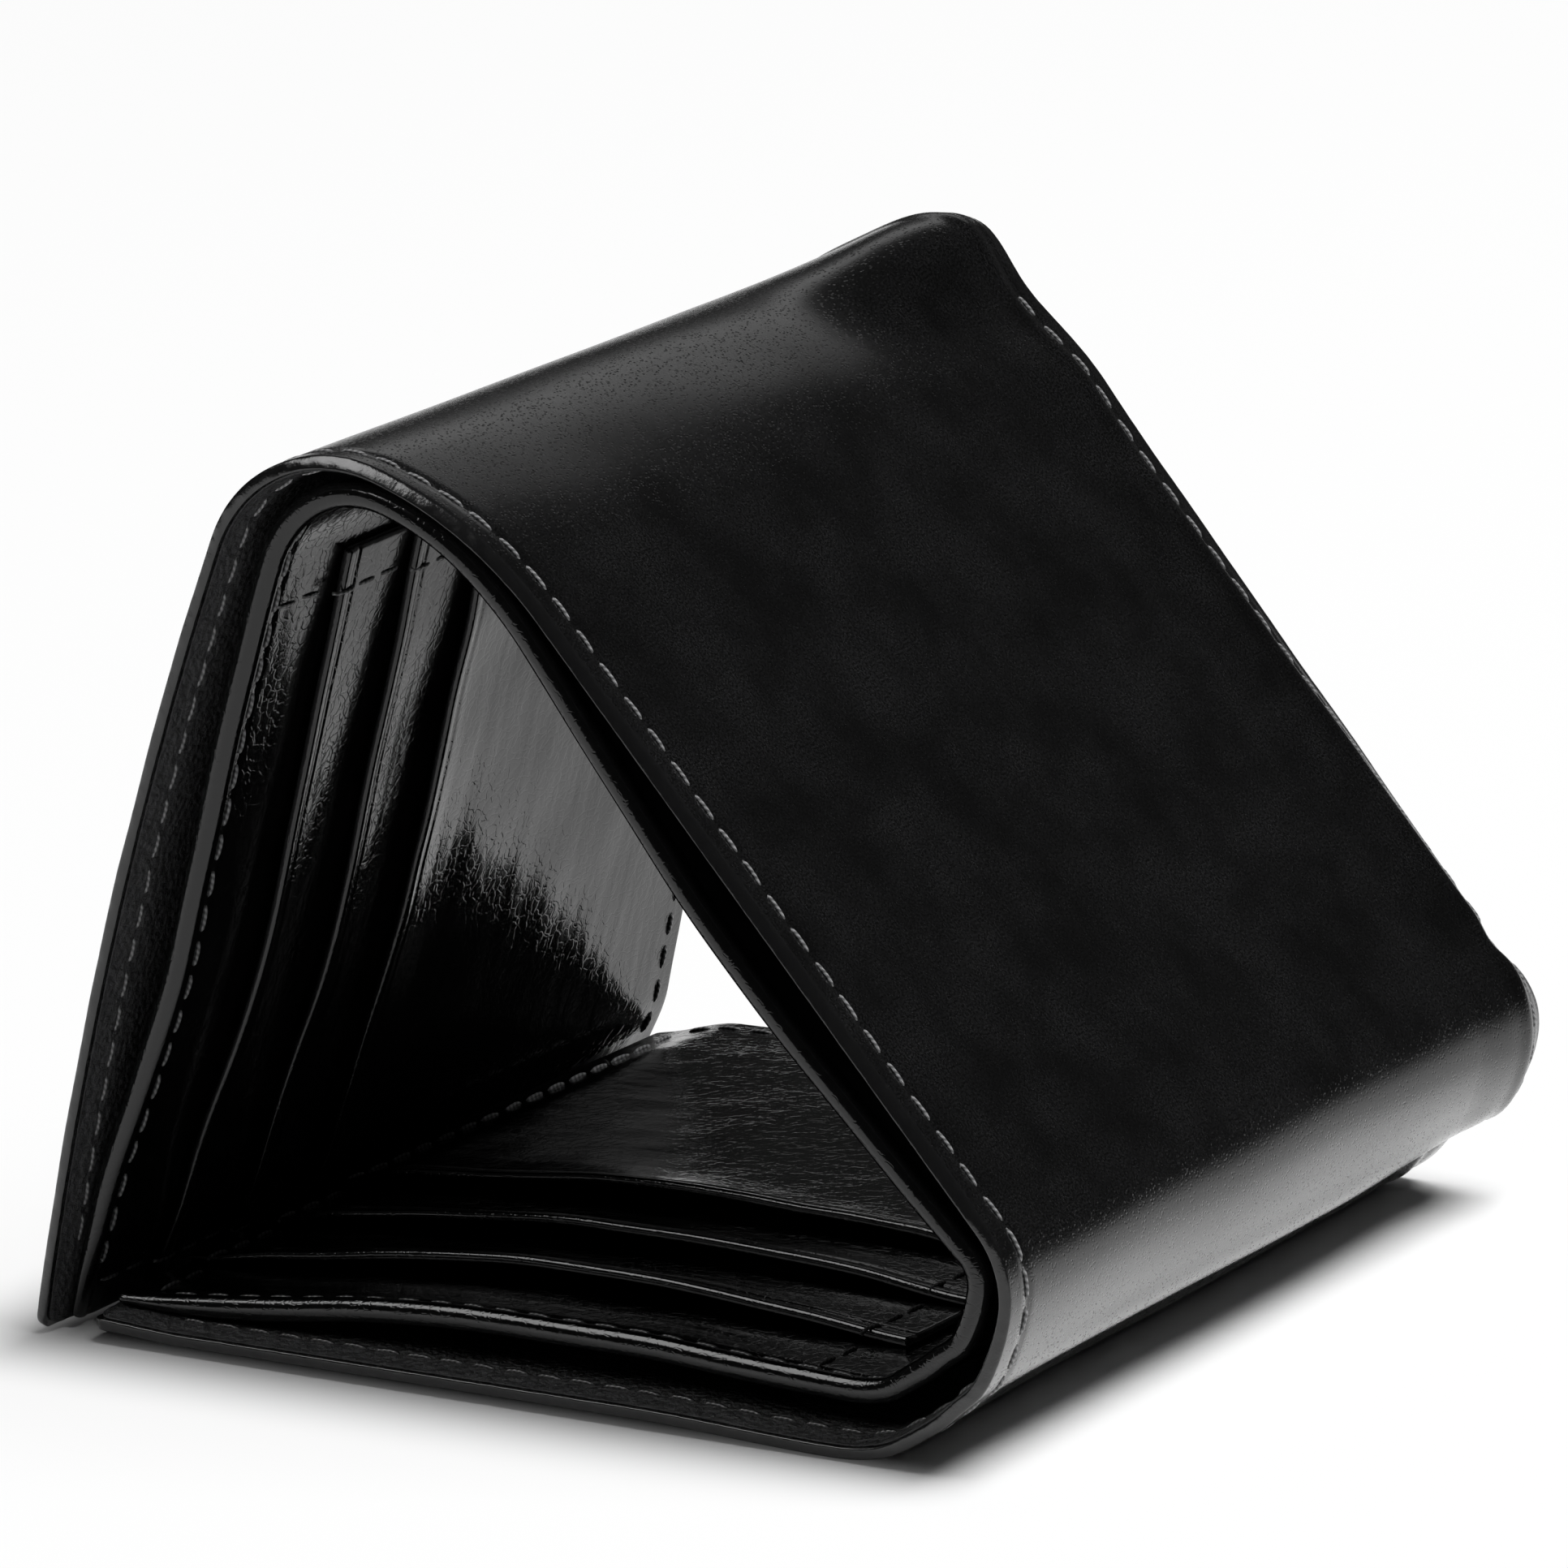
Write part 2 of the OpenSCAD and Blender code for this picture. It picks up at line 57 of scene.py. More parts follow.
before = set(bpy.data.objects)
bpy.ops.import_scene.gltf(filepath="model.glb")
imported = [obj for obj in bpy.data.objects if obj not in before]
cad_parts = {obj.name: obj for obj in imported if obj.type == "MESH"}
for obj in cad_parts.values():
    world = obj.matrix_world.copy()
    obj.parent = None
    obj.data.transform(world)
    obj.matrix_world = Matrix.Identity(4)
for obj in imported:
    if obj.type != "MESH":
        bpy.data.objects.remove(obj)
cad_box = [list(corner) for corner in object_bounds()]

MM = 0.001

# Sizes, finishes and light that a user can change


def setting(name, text, value, **more):
    return bpy.props.FloatProperty(name=name, description=text, default=value, **more)


def length(name, text, mm):
    return setting(name, text, mm * MM, unit="LENGTH", precision=5)


def angle(name, text, degrees):
    return setting(name, text, math.radians(degrees), subtype="ANGLE")


def share(name, text, value):
    return setting(name, text, value, min=0.0, max=1.0, subtype="FACTOR")


def power(name, text, watts):
    return setting(name, text, watts, unit="POWER")


def colour(name, text, rgb):
    return bpy.props.FloatVectorProperty(
        name=name, description=text, default=rgb, size=3, min=0.0, max=1.0, subtype="COLOR"
    )


class WalletSection(bpy.types.PropertyGroup):
    """Shape of the standing wallet, seen from its bill opening"""

    wallet_h: length("Height", "From the bill opening to the closed edge", 102)
    middle_len: length("Middle panel", "Straight length between the two folds", 73)
    tip_gap: length("Tip gap", "Between the two flaps where their free ends meet", 0.5)
    floor_gap: length("Floor gap", "Between the left panel's free end and the table", 0.1)
    corner_r: length("Corner", "Corner radius at the free ends", 1.5)
    lower_turn_wide: angle("Lower turn, wide", "Turn of the lower fold's wide part", 76)
    lower_turn_tight: angle("Lower turn, tight", "Turn of the lower fold's tight part", 54)
    lower_r_wide: length("Lower radius, wide", "Outside radius of that part", 22)
    lower_r_tight: length("Lower radius, tight", "Outside radius of that part", 10.5)
    top_turn_wide: angle("Top turn, wide", "Turn of the top fold's wide part", 32)
    top_turn_tight: angle("Top turn, tight", "Turn of the top fold's tight part", 83)
    top_r_wide: length("Top radius, wide", "Outside radius of that part", 43)
    top_r_tight: length("Top radius, tight", "Outside radius of that part", 17.5)
    left_bow: angle("Left bow", "Outward bow of the left panel", 11)
    lower_crease_1: angle("Lower crease 1", "Turn from the bottom panel to it", 26)
    lower_crease_2: angle("Lower crease 2", "Turn from the bottom panel to it", 90)
    top_crease_1: angle("Top crease 1", "Turn from the middle panel to it", 21)
    top_crease_2: angle("Top crease 2", "Turn from the middle panel to it", 82)


class WalletLeather(bpy.types.PropertyGroup):
    """Layers of leather, the bill compartment and the card slots"""

    cover_t: length("Cover", "Thickness of the outer leather", 1.3)
    lining_t: length("Lining", "Thickness of the lining", 0.6)
    divider_t: length("Divider", "Thickness of the bill compartment's inner wall", 1.8)
    slot_t: length("Slot ply", "Thickness of one card slot ply", 1)
    ply_gap: length("Ply gap", "Room between plies that are sewn together", 0.1)
    end_share: share("End share", "Thickness left on a ply at a free end", 0.55)
    end_thin: length("End thinning", "Distance over which plies thin", 12)
    slot_ease: length("Slot ease", "Extra room in the middle of a slot", 0.3)
    slot_fade: length("Slot fade", "Distance over which that room fades", 14)
    divider_front: length("Divider front", "Setback of the divider's front edge", 3)
    gap_bottom: length("Bottom gap", "Bill compartment at the bottom panel", 3.6)
    gap_lower_fold: length("Lower fold gap", "Bill compartment at the lower fold", 2.9)
    gap_middle: length("Middle gap", "Bill compartment at the middle panel", 5.7)
    gap_top_fold: length("Top fold gap", "Bill compartment at the top fold", 1.8)
    gap_left: length("Left gap", "Bill compartment at the left panel", 4.3)
    slot_first: length("First slot", "First slot mouth from the cover's edge", 15.5)
    slot_step: length("Slot step", "From one slot mouth to the next", 11)
    slot_fold_gap: length("Slot fold gap", "From the slots' plies to the fold", 1)
    ply_inset: length("Ply inset", "From the inner plies to the cover's edge", 0.5)
    edge_round: length("Edge round", "Depth of the rounding on cut edges", 0.3)
    edge_lean: length("Edge lean", "Setback of a cut edge's outer side", 0.2)
    lip_lift: length("Lip lift", "How far a slot's mouth stands open", 1.1)
    lip_reach: length("Lip reach", "Distance over which the mouth closes", 10)
    swell: length("Swell", "How far the top fold swells out at the closed edge", 4.8)
    draw_in: length("Draw in", "How far the lower fold is drawn in at the closed edge", 3)
    puff: length("Puff", "How far the leather stands out beside the closed edge", 0.6)
    raised: length("Raised", "How far the bottom panel's free corner is off the table", 1.2)
    foot: length("Foot", "Depth of the crease over the lower fold's foot", 2.2)
    grid_step: length("Step", "Length of one step of a modelled layer", 0.6)


class WalletSeams(bpy.types.PropertyGroup):
    """Seams and thread"""

    seam_inset: length("Seam inset", "Long seams from the cover's edges", 3.4)
    seam_back: length("Closed edge seam", "Outer seam from the closed edge", 2.8)
    end_seam: length("End seam", "Seams across the panels from the ends", 4.6)
    divider_seam: length("Divider seam", "Seam from the divider's front edge", 2.8)
    stitch_pitch: length("Pitch", "From one stitch to the next", 4)
    stitch_len: length("Stitch", "Length of thread that shows in one stitch", 3.2)
    thread_d: length("Thread", "Thickness of the thread", 0.4)
    thread_gap: length("Thread gap", "From the cover's face to the thread's room", 0.04)
    ply_thread_gap: length("Ply thread gap", "From the plies' faces to the thread's room", 0.12)
    sink: length("Sink", "How far a seam pulls into the leather", 0.2)
    seed: bpy.props.IntProperty(
        name="Seed", description="Start of the small differences between stitches", default=7
    )


class WalletFinish(bpy.types.PropertyGroup):
    """Colours of the leathers and the thread"""

    outer: colour("Outer leather", "Smooth black leather", (0.0022, 0.0022, 0.0023))
    edge: colour("Edge paint", "Painted cut edges", (0.006, 0.006, 0.0062))
    lining: colour("Lining", "Matt grained lining", (0.030, 0.030, 0.032))
    inner: colour("Inner leather", "Glossy slot leather", (0.0025, 0.0025, 0.0026))
    # Painted highlight: the thread's grey colour is lighter than the black waxed thread so that
    # the stitches show glints
    thread: colour("Thread", "Waxed black thread", (0.2, 0.2, 0.203))


class WalletStage(bpy.types.PropertyGroup):
    """Floor, lamps and camera"""

    floor: colour("Floor", "Plain white table", (0.92, 0.92, 0.92))
    glow: share("Glow", "Share of plain white in what the open floor shows", 0.9)
    shade_reach: length("Shade reach", "From the wallet to where the floor is plain white", 20)
    reach: length("Reach", "Distance over which the table's far end dims in gloss", 270)
    key_power: power("Key light", "Large soft light above on the right", 50.0)
    front_power: power("Front light", "Soft light in front, seen in what is glossy", 28.0)
    left_power: power("Left light", "Dim strip behind on the left", 0.75)
    world: share("World", "Dim grey all round", 0.011)
    sheen: share("Sheen", "Grey all round that shows only in what is glossy", 0.014)
    focal: setting("Focal length", "Lens of the camera", 249.5, unit="CAMERA")
    place: bpy.props.FloatVectorProperty(
        name="Camera place",
        description="Where the camera stands",
        default=(0.6154, -0.8742, 0.3386),
        size=3,
        subtype="XYZ",
        unit="LENGTH",
    )
    yaw: angle("Yaw", "Camera's turn to the left of straight ahead", 35.066)
    pitch: angle("Pitch", "Camera's tilt above the level", -15.049)
    roll: angle("Roll", "Camera's roll", -3.58)


# Start of each layer's own ripples
COVER_SEED, LINING_SEED, DIVIDER_SEED, POCKET_SEED, LIP_SEED, EDGE_SEED = 3, 5, 11, 17, 20, 41
# Least cover under a seam's groove, and the room between cover and lining
COVER_LEAST, LAYER_ROOM = 0.9 * MM, 0.02 * MM

# Section of the wallet. A place on it is (s, n, y): s runs along the outside of the cover from
# the start of the lower fold, n is the depth inwards and y the distance from the bill opening.


def ease(u):
    v = np.clip(u, 0.0, 1.0)
    return v * v * (3 - 2 * v)


def bump_line(d, width):
    return np.exp(-((d / width) ** 2))


def rise(x, start, over):
    """From 0 at start up to 1, in mm"""
    return ease((x - start * MM) / (over * MM))


def fall(x, end, over):
    """From 1 down to 0 at end, in mm"""
    return ease((end * MM - x) / (over * MM))


def ridge(x, at, width):
    """Rounded ridge of height 1, in mm"""
    return bump_line(x - at * MM, width * MM)


def advance(at, run, turn):
    """Goes on along an arc, or a straight line, from x, z, heading and s"""
    x, z, heading, s = at
    if turn == 0:
        return (x + run * math.cos(heading), z + run * math.sin(heading), heading, s + run)
    r = run / turn
    return (
        x + r * (math.sin(heading + turn) - math.sin(heading)),
        z + r * (math.cos(heading) - math.cos(heading + turn)),
        heading + turn,
        s + run,
    )


def arc(at, r, turn):
    return advance(at, r * turn, turn)


class Wallet:
    """Places, depths and seams of the standing wallet, in metres"""

    def __init__(self, scene):
        self.size = size = scene.wallet_section
        self.hide = hide = scene.wallet_leather
        self.seam = seam = scene.wallet_seams
        self.sheet_t = hide.cover_t + hide.lining_t
        self.slot_count = 3

        fold = (0.0, 0.0, 0.0, 0.0)
        lower_mid = arc(fold, size.lower_r_wide, size.lower_turn_wide)
        middle = arc(lower_mid, size.lower_r_tight, size.lower_turn_tight)
        middle_end = advance(middle, size.middle_len, 0)
        top_mid = arc(middle_end, size.top_r_wide, size.top_turn_wide)
        left = arc(top_mid, size.top_r_tight, size.top_turn_tight)

        tip_heading = left[2] + size.left_bow
        tip_z = size.floor_gap - self.sheet_t * math.cos(tip_heading)
        left_r = (tip_z - left[1]) / (math.cos(left[2]) - math.cos(tip_heading))
        self.left_len = left_r * size.left_bow
        left_end = advance(left, self.left_len, size.left_bow)
        self.left_start, self.left_end = left[3], left_end[3]

        stack = self.end_stack(0.0)
        tip_s = self.left_len - stack
        tip = advance(left, tip_s, size.left_bow * tip_s / self.left_len)
        tip_x = tip[0] - self.end_stack(stack) * math.sin(tip[2])
        thread_room = seam.ply_thread_gap + seam.thread_d
        self.bottom_len = hide.ply_inset - size.tip_gap - thread_room - tip_x
        bottom = (-self.bottom_len, 0.0, 0.0, -self.bottom_len)

        # Runs of the section: start, length and turn
        starts = [bottom, fold, lower_mid, middle, middle_end, top_mid, left]
        lower_turns, top_turns = (
            [getattr(size, f"{name}_turn_{part}") for part in ("wide", "tight")]
            for name in ("lower", "top")
        )
        turns = [0, *lower_turns, 0, *top_turns, size.left_bow]
        spans = np.diff([*(start[3] for start in starts), self.left_end])
        self.runs = np.array([[*run[0], *run[1:]] for run in zip(starts, spans, turns)])
        self.run_ends = self.runs[:, 3] + self.runs[:, 4]

        right_x = lower_mid[0] + size.lower_r_tight * (1 - math.sin(size.lower_turn_wide))
        right_x += seam.thread_gap + seam.thread_d
        self.origin_x = (right_x + left_end[0]) / 2
        self.origin_y = size.wallet_h / 2

        def fold_s(start, r_1, turn_1, r_2, turn):
            return start + r_1 * min(turn, turn_1) + r_2 * max(0, turn - turn_1)

        lower = (size.lower_r_wide, size.lower_turn_wide, size.lower_r_tight)
        top = (size.top_r_wide, size.top_turn_wide, size.top_r_tight)
        self.creases = [
            fold_s(0, *lower, size.lower_crease_1),
            fold_s(0, *lower, size.lower_crease_2),
            fold_s(middle_end[3], *top, size.top_crease_1),
            fold_s(middle_end[3], *top, size.top_crease_2),
        ]
        lower_cut = (self.creases[0] + self.creases[1]) / 2
        middle_cut = (middle[3] + middle_end[3]) / 2
        top_cut = (self.creases[2] + self.creases[3]) / 2
        # Free ends, and where the long layers are parted: in the folds and in the middle panel
        self.cuts = [-self.bottom_len, lower_cut, middle_cut, top_cut, self.left_end]
        # Where the bill compartment has its stated depths, from end seam to end seam
        low, high = -self.bottom_len + seam.end_seam, self.left_end - seam.end_seam
        bottom_mid, left_mid = -self.bottom_len / 2, self.left_start + self.left_len / 2
        self.gap_s = np.array([low, bottom_mid, lower_cut, middle_cut, top_cut, left_mid, high])
        zones = ("bottom", "lower_fold", "middle", "top_fold", "left")
        self.gap_n = np.array([0, *(getattr(hide, f"gap_{zone}") for zone in zones), 0])
        self.slots_bottom = (-self.bottom_len + hide.ply_inset, -hide.slot_fold_gap)
        self.slots_left = (self.left_start + hide.slot_fold_gap, self.left_end - hide.ply_inset)

    def share_at(self, d):
        hide = self.hide
        return hide.end_share + (1 - hide.end_share) * ease(d / hide.end_thin)

    def end_stack(self, d):
        hide = self.hide
        share = self.share_at(d)
        ply = hide.ply_gap + hide.slot_ease * ease(d / hide.slot_fade) + hide.slot_t * share
        return self.sheet_t + hide.ply_gap + hide.divider_t * share + self.slot_count * ply

    def share(self, s):
        return self.share_at(np.minimum(s + self.bottom_len, self.left_end - s))

    def run_at(self, s):
        return self.runs[np.clip(np.searchsorted(self.run_ends, s), 0, len(self.runs) - 1)]

    def section(self, s):
        """Place and heading on the outside of the cover"""
        run = self.run_at(s)
        x, z, heading, start, span, turn = np.moveaxis(run, -1, 0)
        d = s - start
        bend = np.where(turn > 0, turn / span, 1.0)
        turned = heading + bend * d
        x_arc = x + (np.sin(turned) - np.sin(heading)) / bend
        z_arc = z + (np.cos(heading) - np.cos(turned)) / bend
        flat = turn == 0
        return (
            np.where(flat, x + d * np.cos(heading), x_arc),
            np.where(flat, z + d * np.sin(heading), z_arc),
            np.where(flat, heading, turned),
        )

    def bend(self, s):
        run = self.run_at(s)
        return run[..., 5] / run[..., 4]

    def slump(self, s, y):
        """Inward shift of all layers where soft leather leaves the plain section"""
        hide, wide = self.hide, self.size.wallet_h
        folds = rise(s, -1, 7) * ease((self.left_start - s) / (8 * MM))
        rim = rise(y, 98, 4)
        # Knuckle at the closed edge of the top fold
        peak = 133.5 * MM
        knuckle = bump_line(s - peak, np.where(s < peak, 5.8 * MM, 7.6 * MM))
        swell = 1.1 * knuckle + 0.22 * ridge(s, 126, 15)
        full = rise(y, 74, 23) - 0.15 * rise(y, 99, 3)
        # Lower fold and middle panel, drawn in towards the closed edge
        pull = np.clip((y - 68 * MM) / (34 * MM), 0, 1) ** 1.3
        middle = rise(s, 32, 9)
        sag = 0.53 * middle * np.clip((106 * MM - s) / (60 * MM), 0, 1)
        sag = sag + 0.17 * rise(s, 20, 6) * (1 - middle)
        drawn = ridge(s, 14.5, 7) * pull + sag * rim
        drawn = drawn + 0.25 * ridge(s, 41.5, 2.2) * rise(y, 90, 12)
        # Margin that stands out beside the closed edge's seam
        puff = rim - rise(y, 88, 9)
        puff = puff * rise(s, 14, 10) * fall(s, 122, 8)
        # Crease over the lower fold's foot, deepest away from the bill opening
        foot = fall(s, 20.8, 4.4) * rise(s, 5, 7)
        foot = foot - 0.15 * ridge(s, 21.6, 2)
        lens = 0.2 + 0.8 * rise(y, 0, 26)
        lens = lens * ease((wide - y) / (9 * MM))
        shift = hide.draw_in * drawn + hide.puff * puff - hide.swell * swell * full
        # Free corner of the bottom panel at the bill opening
        raised = 0.6 * fall(s, 0, 25) + 0.4 * fall(s, -80, 11)
        raised = raised * (1 - y / wide)
        return folds * (shift + hide.foot * foot * lens) + hide.raised * raised

    def place(self, s, n, y):
        s, n, y = np.broadcast_arrays(np.asarray(s, float), n, y)
        n = n + self.slump(s, y)
        x, z, heading = self.section(s)
        x, z = x - n * np.sin(heading), z + n * np.cos(heading)
        return np.stack([x - self.origin_x, y - self.origin_y, z], axis=-1)

    def inward(self, s):
        heading = self.section(np.asarray(s, float))[2]
        return np.stack([-np.sin(heading), np.zeros_like(heading), np.cos(heading)], axis=-1)

    def corner_in(self, d):
        r = self.size.corner_r
        return np.where(d >= r, 0.0, r - np.sqrt(np.maximum(0.0, 2 * r * d - d * d)))

    def end_distance(self, s):
        return np.maximum(0.0, np.minimum(s + self.bottom_len, self.left_end - s))

    # Depths of the leather faces, with the small relief that soft leather has

    def ripple(self, s, y, seed, span):
        dice = np.random.default_rng(seed)
        waves = 6
        total = 0.0
        for k in range(waves):
            turn = dice.uniform(0, math.pi)
            wave = 2 * math.pi / (span * (0.55 + 0.25 * k))
            across = s * math.cos(turn) + y * math.sin(turn)
            total = total + np.sin(wave * across + dice.uniform(0, 2 * math.pi))
        return total / waves

    def cover_out(self, s, y):
        seam = self.seam
        back = self.size.wallet_h - y
        wide = 0.5 * MM
        groove = bump_line(y - seam.seam_inset, wide) + bump_line(back - seam.seam_back, wide)
        lying = rise(s, -2, 12)
        bead = 0.3 * MM * ridge(back, 4.4, 1) * lying
        soft = 0.16 * MM * self.ripple(s, y, COVER_SEED, 26 * MM) * lying
        return seam.sink * groove + soft - bead

    def cover_in(self, s, y):
        return np.maximum(self.hide.cover_t, self.cover_out(s, y) + COVER_LEAST) - LAYER_ROOM

    def lining_in(self, s, y):
        groove = bump_line(y - self.seam.seam_inset, 0.6 * MM)
        thin = (self.hide.lining_t - 0.18 * MM) * (1 - rise(y, 0, 3.6))
        soft = 0.04 * MM * self.ripple(s, y, LINING_SEED, 14 * MM)
        return self.sheet_t - thin - 0.1 * MM * groove + soft

    def mouth(self, s):
        s = np.asarray(s, float)
        i = np.clip(np.searchsorted(self.gap_s, s) - 1, 0, len(self.gap_s) - 2)
        u = (s - self.gap_s[i]) / (self.gap_s[i + 1] - self.gap_s[i])
        gap = self.gap_n[i] + (self.gap_n[i + 1] - self.gap_n[i]) * ease(u)
        return np.where((s < self.gap_s[0]) | (s > self.gap_s[-1]), 0.0, gap)

    def divider_base(self, s, y):
        front, wide = self.hide.divider_front, self.size.wallet_h
        gap = self.mouth(s) * (wide - np.maximum(y, front)) / (wide - front)
        sway = 0.2 * MM * self.ripple(s, y, DIVIDER_SEED, 30 * MM) * rise(gap, 0, 1)
        return self.sheet_t + self.hide.ply_gap + gap + sway

    def divider_out(self, s, y):
        d = y - self.hide.divider_front
        rolled = 0.35 * MM * fall(d, 2.4, 1) * rise(self.mouth(s), 0, 1)
        return self.divider_base(s, y) - rolled

    def divider_in(self, s, y):
        d = y - self.hide.divider_front
        roll = 0.45 * MM * fall(d, 2.3, 1.1) * self.share(s)
        groove = 0.16 * MM * bump_line(d - self.seam.divider_seam, 0.5 * MM)
        return self.divider_base(s, y) + self.hide.divider_t * self.share(s) + roll - groove

    def slot_front(self, k):
        return self.hide.slot_first + (k - 1) * self.hide.slot_step

    def slot_room(self, span, s, y):
        hide = self.hide
        across = np.minimum(1.0, (self.size.wallet_h - y) / hide.slot_fade)
        along = ease((s - span[0]) / hide.slot_fade) * ease((span[1] - s) / hide.slot_fade)
        return hide.ply_gap + hide.slot_ease * across * along

    def slot_base(self, span, k, s, y):
        hide = self.hide
        under = self.divider_base(s, y) + hide.divider_t * self.share(s)
        return under + k * (self.slot_room(span, s, y) + hide.slot_t * self.share(s))

    def slot_lift(self, span, k, s, y):
        hide = self.hide
        along = np.sin(math.pi * np.clip((s - span[0]) / (span[1] - span[0]), 0, 1))
        open_at = np.clip(1 - (y - self.slot_front(k)) / hide.lip_reach, 0, 1) ** 2
        uneven = 1 + 0.15 * self.ripple(s, y, LIP_SEED + k, 40 * MM)
        return hide.lip_lift * along * open_at * uneven

    def slot_out(self, span, k, s, y):
        under = self.slot_base(span, k - 1, s, y) + self.slot_room(span, s, y)
        return under + self.slot_lift(span, k, s, y)

    def slot_in(self, span, k, s, y):
        d = y - self.slot_front(k)
        top = 0.07 * MM * fall(d, 1.5, 0.5) - 0.13 * MM * ridge(d, 1.8, 0.28)
        if k == self.slot_count:
            inside = ease((s - span[0]) / (12 * MM)) * ease((span[1] - s) / (12 * MM))
            top = top + 0.12 * MM * self.ripple(s, y, POCKET_SEED, 17 * MM) * inside
        return self.slot_base(span, k, s, y) + top + self.slot_lift(span, k, s, y)

    def plies_at(self, y):
        hide = self.hide
        count = 1 + np.floor((y - hide.slot_first) / hide.slot_step)
        return np.where(y < hide.slot_first, 0, np.clip(count, 0, self.slot_count)).astype(int)

    def top_face(self, s, y):
        n = self.divider_in(s, y)
        plies = self.plies_at(y)
        for span in (self.slots_bottom, self.slots_left):
            inside = (s > span[0]) & (s < span[1])
            for k in range(1, self.slot_count + 1):
                n = np.where(inside & (plies == k), self.slot_in(span, k, s, y), n)
        return n


# Meshes. A layer is a grid: each row goes once round the leather, and rows follow the section.

EDGE_TURNS = np.radians(np.array([-72, -54, -28, 0, 28, 54, 72]))
END_ROWS = 14
TINY = 1e-12
# Lets a stitch at the last free end count as inside
SLACK = 1e-9


def spread(a, b, step):
    return np.linspace(a, b, max(2, int(math.ceil((b - a) / step)) + 1))


def join_places(*parts):
    return np.unique(np.round(np.concatenate(parts), 8))


def face_places(wide, front, front_step, middle_step, back, back_step):
    """Places of the columns across a face, close together along its two edges, from mm"""
    front, back = front * MM, back * MM
    places = join_places(
        spread(0, front, front_step * MM),
        spread(front, wide - back, middle_step * MM),
        spread(wide - back, wide, back_step * MM),
    )
    return places / wide


def end_places(reach, towards):
    """Places of the rows next to a free end, closer together towards it"""
    quarter = np.linspace(0, math.pi / 2, END_ROWS + 1)[:-1]
    steps = reach * (1 - np.cos(quarter))
    return steps if towards > 0 else -steps[::-1]


def leather_layer(
    wallet,
    rows,
    ends,
    front,
    back,
    outside,
    inside,
    outer_cols,
    inner_cols,
    edge,
    lean=None,
    ragged=0.0,
    painted=True,
):
    """Grid of one layer between the depths outside(s, y) and inside(s, y)"""
    s = rows[:, None]
    lean_front, lean_back = lean(s) if lean else (0.0, 0.0)
    free = np.full_like(s, 1.0)
    for end in ends:
        near = np.clip(np.abs(s - end) / edge, 0, 1)
        free = np.minimum(free, np.sqrt(np.maximum(0.0, 1 - (1 - near) ** 2)))
    least = 0.06
    free = np.maximum(free, least)
    y_front, y_back = front(s), back(s)
    wide = y_back - y_front - 2 * edge

    def faces(y):
        lo, hi = outside(s, y), inside(s, y)
        return (lo + hi) / 2, (hi - lo) / 2 * free

    y_out = y_front + edge + lean_front + outer_cols[None, :] * (wide - lean_front - lean_back)
    mid_out, half_out = faces(y_out)
    y_in = y_front + edge + inner_cols[None, ::-1] * wide
    mid_in, half_in = faces(y_in)

    turn = EDGE_TURNS[None, :]
    square = 0.7 if lean else 0.95
    across = np.sign(np.sin(turn)) * np.abs(np.sin(turn)) ** square
    depth = np.abs(np.cos(turn)) ** square * edge
    depth = depth * (1 + ragged * wallet.ripple(s, across * MM, EDGE_SEED, 2.6 * MM))
    set_back = (1 - across) / 2
    n_back = mid_out[:, -1:] + half_out[:, -1:] * across
    n_front = (mid_out[:, :1] + half_out[:, :1] * across)[:, ::-1]
    y_back = y_in[:, :1] + depth * free - lean_back * set_back
    y_front = (y_in[:, -1:] - depth * free + lean_front * set_back)[:, ::-1]

    n = np.concatenate([mid_out - half_out, n_back, mid_in + half_in, n_front], axis=1)
    y = np.concatenate([y_out, y_back, y_in, y_front], axis=1)
    points = wallet.place(np.broadcast_to(s, n.shape), n, y)
    turns = np.zeros(n.shape[1], bool)
    a = len(outer_cols)
    b = a + len(EDGE_TURNS)
    turns[a - 1 : b] = painted
    turns[b + len(inner_cols) - 1 :] = painted
    middle = points[len(points) // 2]
    lengths = np.linalg.norm(np.roll(middle, -1, axis=0) - middle, axis=1)
    round_v = np.concatenate([[0.0], np.cumsum(lengths)])
    normals = grid_normals(points)
    return {"points": points, "normals": normals, "rows": rows, "round": round_v, "edge": turns}


def grid_normals(points):
    along = np.gradient(points, axis=0)
    across = np.roll(points, -1, axis=1) - np.roll(points, 1, axis=1)
    normals = np.cross(across, along)
    return normals / np.maximum(TINY, np.linalg.norm(normals, axis=-1, keepdims=True))


